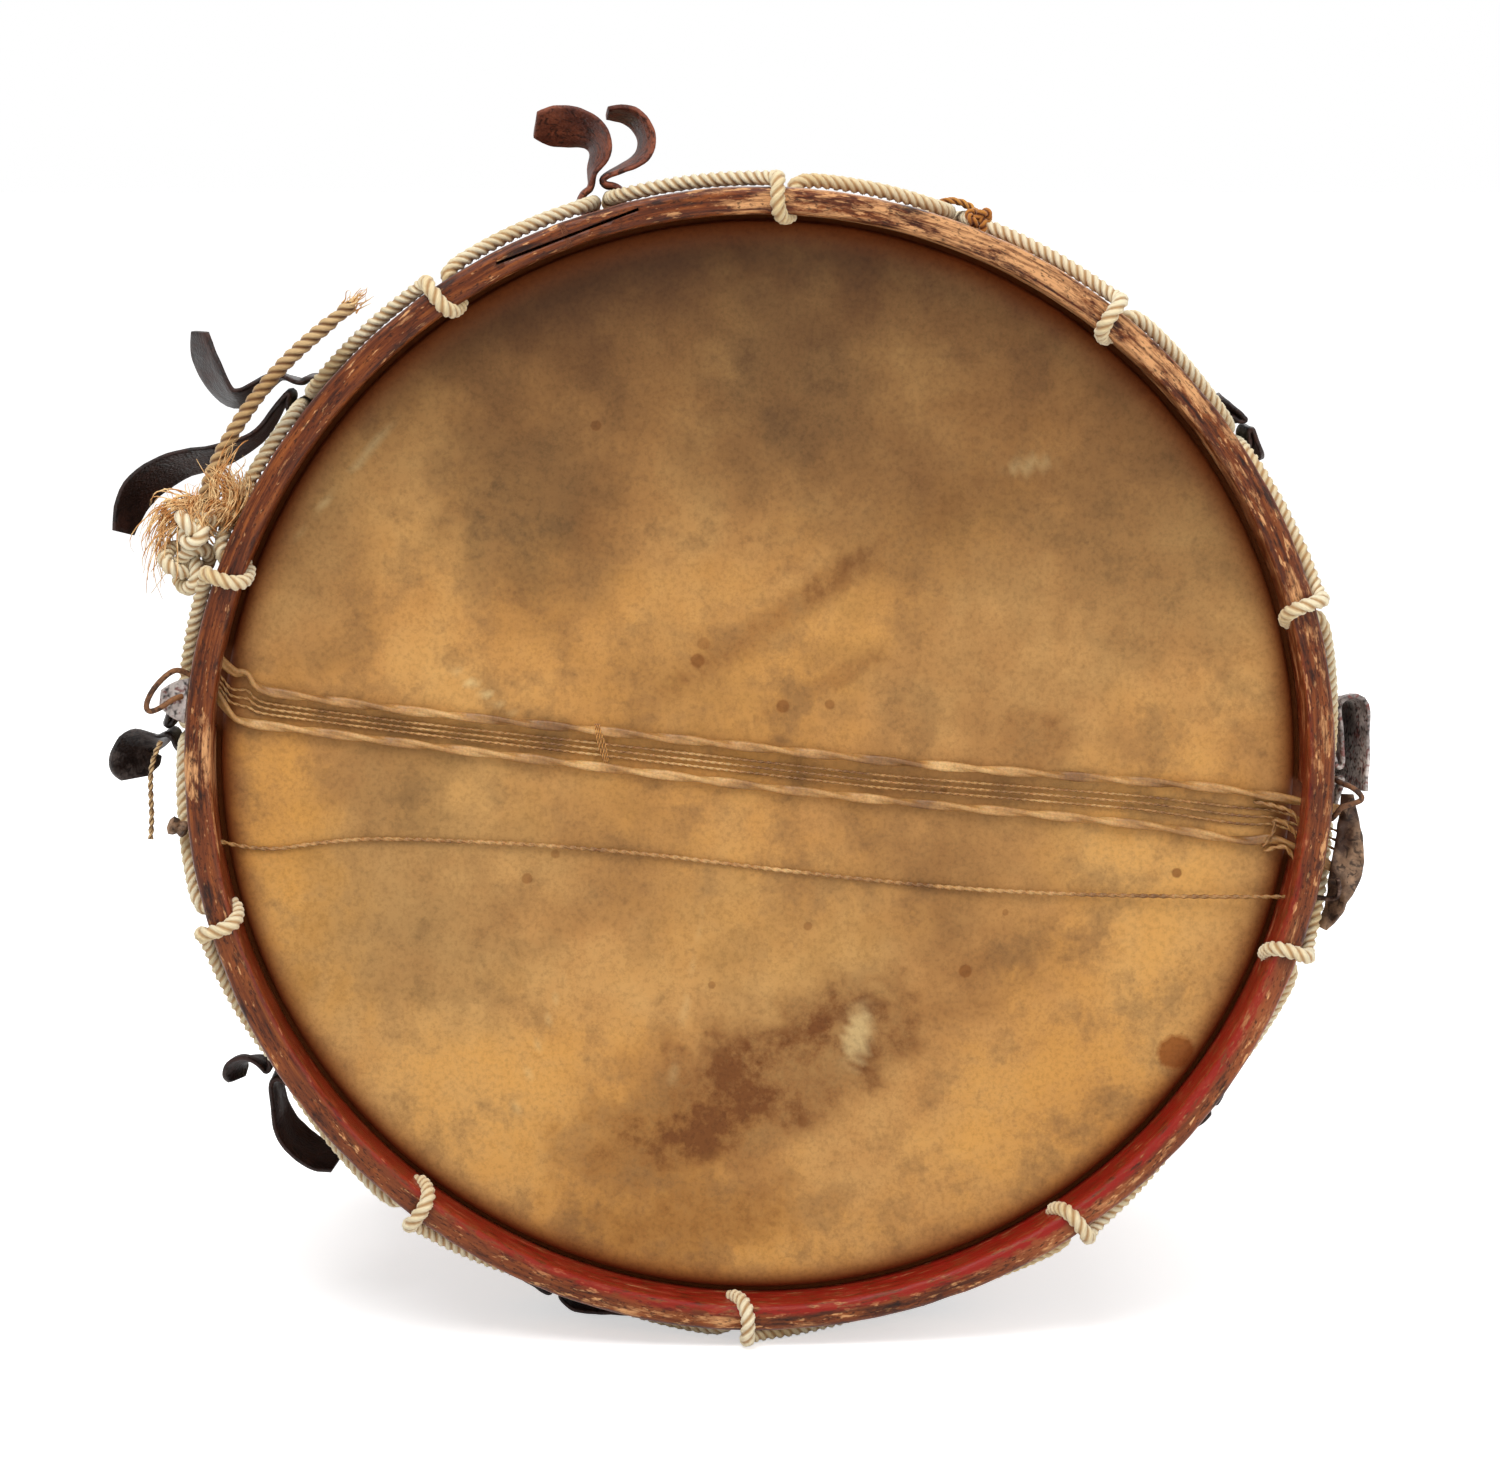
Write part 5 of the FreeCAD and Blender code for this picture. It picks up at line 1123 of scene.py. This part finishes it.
def snare_places(shares, diameter, rise=0.0, left=HOOP_OUTER + GAP, right=LEG_RADIUS + ROPE_RADIUS + GAP):
    """Control places of a strand on the skin, with both ends carried on to their radius."""
    height = SNARE_FLOOR + diameter / 2 + LIFT * np.broadcast_to(rise, len(shares))
    places = np.column_stack([np.asarray(shares) * HOOP_INNER, height])
    for end, inner, reach in ((0, 1, left), (-1, -2, right)):
        ahead = unit(places[end, :2] - places[inner, :2])
        along = places[end, :2] @ ahead
        places[end, :2] += ahead * (math.sqrt(along ** 2 + reach ** 2 - places[end, :2] @ places[end, :2]) - along)
    return places


def level(shares, across):
    return np.interp(across, *np.asarray(shares).T)


stations = np.array(sorted({x for x, _ in UPPER + LOWER}))
graph = finish("twisted gut", Roughness=0.5, Subsurface_Weight=0.15, Subsurface_Scale=0.001)
tone = graph.ramp(graph.noise(graph.place(), 55.0, 5.0), (0.35, "#7E5426"), (0.52, "#B08046"), (0.7, "#D0A468"))
fibre = graph.noise(graph.place("UV"), (9, 900, 1))
gut = graph.surface(graph.mixed(0.8, tone, graph.ramp(fibre, (0.35, 0.7), (0.6, 1.0)), "MULTIPLY"),
                    graph.bump(fibre, 0.4, 0.0002))

for name, shares in (("snare_upper", UPPER), ("snare_lower", LOWER)):
    pair, _ = laid_cord(name + "_twisted", snare_places(shares, PAIR_DIAMETER), PAIR_DIAMETER, pitch=52, plies=2,
                        columns=14, step=0.9)
    outfit(pair, "drum", "gut", gut, name)
thin_strands = []
for number, share in enumerate((0.36, 0.52, 0.68)):
    route = np.column_stack([stations, level(UPPER, stations) * (1 - share) + level(LOWER, stations) * share])
    strand, _ = laid_cord(f"snare_fine_{number + 1}", snare_places(route, THIN_SNARE), THIN_SNARE, pitch=6,
                          plies=2, columns=8, step=0.9)
    thin_strands.append(strand)
outfit(joined("snare_fine_strands", thin_strands), "drum", "gut", gut, "snare_fine")
loose_places = snare_places(LOOSE, THIN_SNARE, LOOSE_RISE, HOOP_OUTER + 1.6, HOOP_OUTER + GAP)
loose, _ = laid_cord("snare_loose_strand", loose_places, LOOSE_DIAMETER, pitch=8, plies=2, columns=8, step=0.9)
outfit(loose, "drum", "gut", gut, "snare_loose")

# %% [markdown]
# The snares are held outside the hoop. On the left a small grey tab of leather is laced on with a thong, and
# the loose snare ends in a wrapped knot. On the right the snares' ends curl, a strip of thin leather has
# crumpled, and a bent wire hooks the loose snare. Where the photograph shows a piece only as a line, its places
# are read off it in pixels and set on a plane at a height on the drum's axis.

# %% What holds the snares
EYE_DISTANCE = 1750  # mm from the camera to the rim
RIM_SCALE, AXIS_AT, AXIS_DRIFT = 2.584, (761, 763), (169, 526)


def picture_places(spots):
    """Places from (pixel x, pixel y, height on the axis): the axis drifts and the scale shrinks with depth."""
    px, py, height = np.array(spots, float).T
    depth = RIM_HEIGHT - height
    shrunk = EYE_DISTANCE / (EYE_DISTANCE + depth)
    x, y = (at - drift * depth / (EYE_DISTANCE + depth) for at, drift in zip(AXIS_AT, AXIS_DRIFT))
    return np.column_stack([(px - x) / RIM_SCALE / shrunk, (y - py) / RIM_SCALE / shrunk, height])


CURLS = [[(1252, 800, 148), (1274, 804, 150), (1296, 812, 152), (1301, 828, 149)],
         [(1262, 846, 148), (1276, 828, 151), (1270, 818, 152), (1288, 822, 152), (1299, 840, 148)],
         [(1264, 850, 148), (1284, 842, 151), (1292, 856, 151), (1300, 868, 147)]]
curls = [laid_cord(f"curl_{number}", picture_places(spots), 2.0, pitch=9, plies=2, columns=10, step=0.7)[0]
         for number, spots in enumerate(CURLS)]
outfit(joined("snare_curled_ends", curls), "drum", "gut", gut)
GATE_HEIGHT = SNARE_FLOOR + 1.1
thong_leather = leather("brown lacing thong", "#5A3A26", "#9A6A44", "#2A1810", 900.0, 0.6)
# crumpled leather: its pale patches and dark creases are partly the hide's wear and partly painted highlights and
# shade of the crumples
crumpled_leather = leather("thin crumpled leather", "#463024", "#A68466", "#20120A", 300.0, 0.45, grout=0.4)
TAB_ANGLE = 173.6
tab = strap("snare_tab_leather", polar([223.2, 226.5, 230.0, 233.5], TAB_ANGLE, GATE_HEIGHT + 1),
            [17.5, 16.0, 12.5, 6.5], [0, 2, 4, 4], 3.4, 91, count=30, crease=0.25, way=polar(1, TAB_ANGLE + 90, 0))
outfit(tab, "drum", "grey_leather", grey_leather, "snare_tab")

TAB_LACE = [(196, 669, 151), (188, 664, 152), (177, 664, 153.5), (160, 680, 154.5), (151, 697, 154.5),
            (153, 706, 154.5), (165, 702, 154), (180, 691, 152.5), (187, 690, 150)]
BUTT_LACE = [(1331, 776, 151), (1337, 781, 153), (1352, 786, 157), (1364, 798, 160), (1352, 803, 160.5),
             (1340, 806, 160), (1336, 813, 158), (1331, 818, 154)]
for name, node_name, spots in (("tab_thong", "tab_lace", TAB_LACE), ("butt_thong", "butt_lace", BUTT_LACE)):
    lacing, _ = laid_cord(name, picture_places(spots), 2.2, pitch=30, plies=1, columns=10, step=0.6)
    outfit(lacing, "drum", "dark_leather", thong_leather, node_name)

# radius, angle and width: the strip lies flat to the front here, as a crumpled leaf
BUTT_PLACES = [(229.6, -3.4, 4.6), (230.4, -5.4, 7.5), (232.6, -8.0, 11.5), (233.4, -10.6, 13.5),
               (232.4, -13.0, 10.5), (230.8, -15.0, 8.5), (229.6, -16.8, 4.0)]
radii, angles, widths = np.array(BUTT_PLACES).T
butt = strap("butt_leather_crumpled", polar(radii, angles, GATE_HEIGHT + 3), widths, [0, 16, 40, -20, 34, 44, 10],
             2.6, 97, columns=48, crease=2.2, way=polar(1, -10, 0))
outfit(butt, "drum", "red_leather", crumpled_leather, "butt_leather")

KNOB_LENGTH, KNOB_RADIUS = 8.0, 3.2
knot_ahead = unit(loose_places[0] - loose_places[1])
knot_side = np.cross(knot_ahead, UP)
far = np.linspace(0, 1, 26)[:, None]
bulge = np.interp(far, (0, 0.12, 0.3, 0.45, 0.6, 0.85, 1), (0.45, 0.95, 1.0, 0.72, 0.95, 1.1, 0.5)) * KNOB_RADIUS
steps = np.arange(36) / 36 * 2 * np.pi
pleats = 1 + 0.10 * np.cos(7 * steps + 5 * far) + 0.05 * np.cos(13 * steps - 4 * far)
knob_grid = (loose_places[0] + knot_ahead * (GAP + KNOB_LENGTH * far)[..., None]
             + (bulge * pleats)[..., None] * (knot_side * np.cos(steps)[:, None] + UP * np.sin(steps)[:, None]))
outfit(gridded("snare_knot_wrapped", laid(knob_grid)), "drum", "grey_cord", crumpled_leather, "snare_knot")

HOOK_SIZE = 7.0
HOOK_SHARES = ((0.04, 0.0, 0.0), (1.04, 0.0, 0.0), (1.34, 0.55, 0.55), (0.89, 1.35, 0.95))
hook_start = loose_places[-1]
hook_out = unit(hook_start * (1, 1, 0))
hook_places = hook_start + HOOK_SIZE * np.array(HOOK_SHARES) @ (hook_out, np.cross(UP, hook_out), UP)
hook, _ = laid_cord("snare_hook_wire", hook_places, 2.0, pitch=30, plies=1, columns=12, step=0.5)
wire = speckled("rusted iron wire", 500.0, 4.0, (0.4, "#2A1C16"), (0.55, "#4E3A30"), (0.7, "#6E5A50"),
                Metallic=0.9, Roughness=0.55)
outfit(hook, "drum", "wire", wire, "snare_hook")

bands = []
for number, shift in enumerate((-0.7, 0.1, 0.8)):
    top, low = picture_places([(597 + 2.4 * shift, 724, SNARE_FLOOR + 3.9),
                               (606 + 2.0 * shift, 758 - abs(shift), SNARE_FLOOR + 2.3)])
    band, _ = laid_cord(f"fibre_{number}", [top + (0, 1.6, -2.2), top, (top + low) / 2 + (shift, 0, 0.5), low,
                                            low + (0, -1.4, -1.4)], 0.9, pitch=4, plies=2, columns=8, step=0.5)
    bands.append(band)
outfit(joined("snare_tie_fibres", bands), "drum", "orange_cord", orange_cord, "snare_tie")

# %% [markdown]
# The floor is plain and pale, and it keeps the drum's soft shadow. It looks white to the camera because a
# little of its own light is added for camera rays only. Large lamps stand for studio softboxes.

# %% Floor, lamps and world
FLOOR_HALF, FLOOR_GLOW, WORLD_LIGHT = 40.0, 0.56, 0.55
floor = as_object("floor", [(x * FLOOR_HALF, y * FLOOR_HALF, 0) for x, y in ((-1, -1), (1, -1), (1, 1), (-1, 1))],
                  [[0, 1, 2, 3]])
white = finish("white studio floor", Roughness=0.9, Base_Color=(0.9, 0.9, 0.9, 1), Emission_Color=(1, 1, 1, 1))
white.fed(white.shader, {"Emission Strength": white.math("MULTIPLY", white.seen(), FLOOR_GLOW)})
floor.data.materials.append(white.owner)

world = bpy.data.worlds.new("studio")
bpy.context.scene.world = world
sky = Graph(world, "Background", Color=(1, 1, 1, 1))
sky.fed(sky.shader, {"Strength": sky.remap(sky.seen(), 0, 1, WORLD_LIGHT, 1.0)})


def softbox(name, place, aim_at, size, power):
    lamp = bpy.data.lights.new(name, "AREA")
    lamp.shape, lamp.size, lamp.energy = "SQUARE", size, power
    way = Vector(aim_at) - Vector(place)
    added(name, lamp).matrix_world = Matrix.Translation(place) @ way.to_track_quat("-Z", "Y").to_matrix().to_4x4()


softbox("key above and in front", (-0.5, -1.3, 2.1), (0, 0, 0.2), 1.3, 36)
softbox("fill from the right", (1.6, -1.5, 0.9), (0, 0, 0.25), 1.4, 12)
softbox("back light", (0.4, 1.5, 1.7), (0, 0, 0.2), 1.4, 18)
bpy.context.scene.view_settings.view_transform = "Standard"
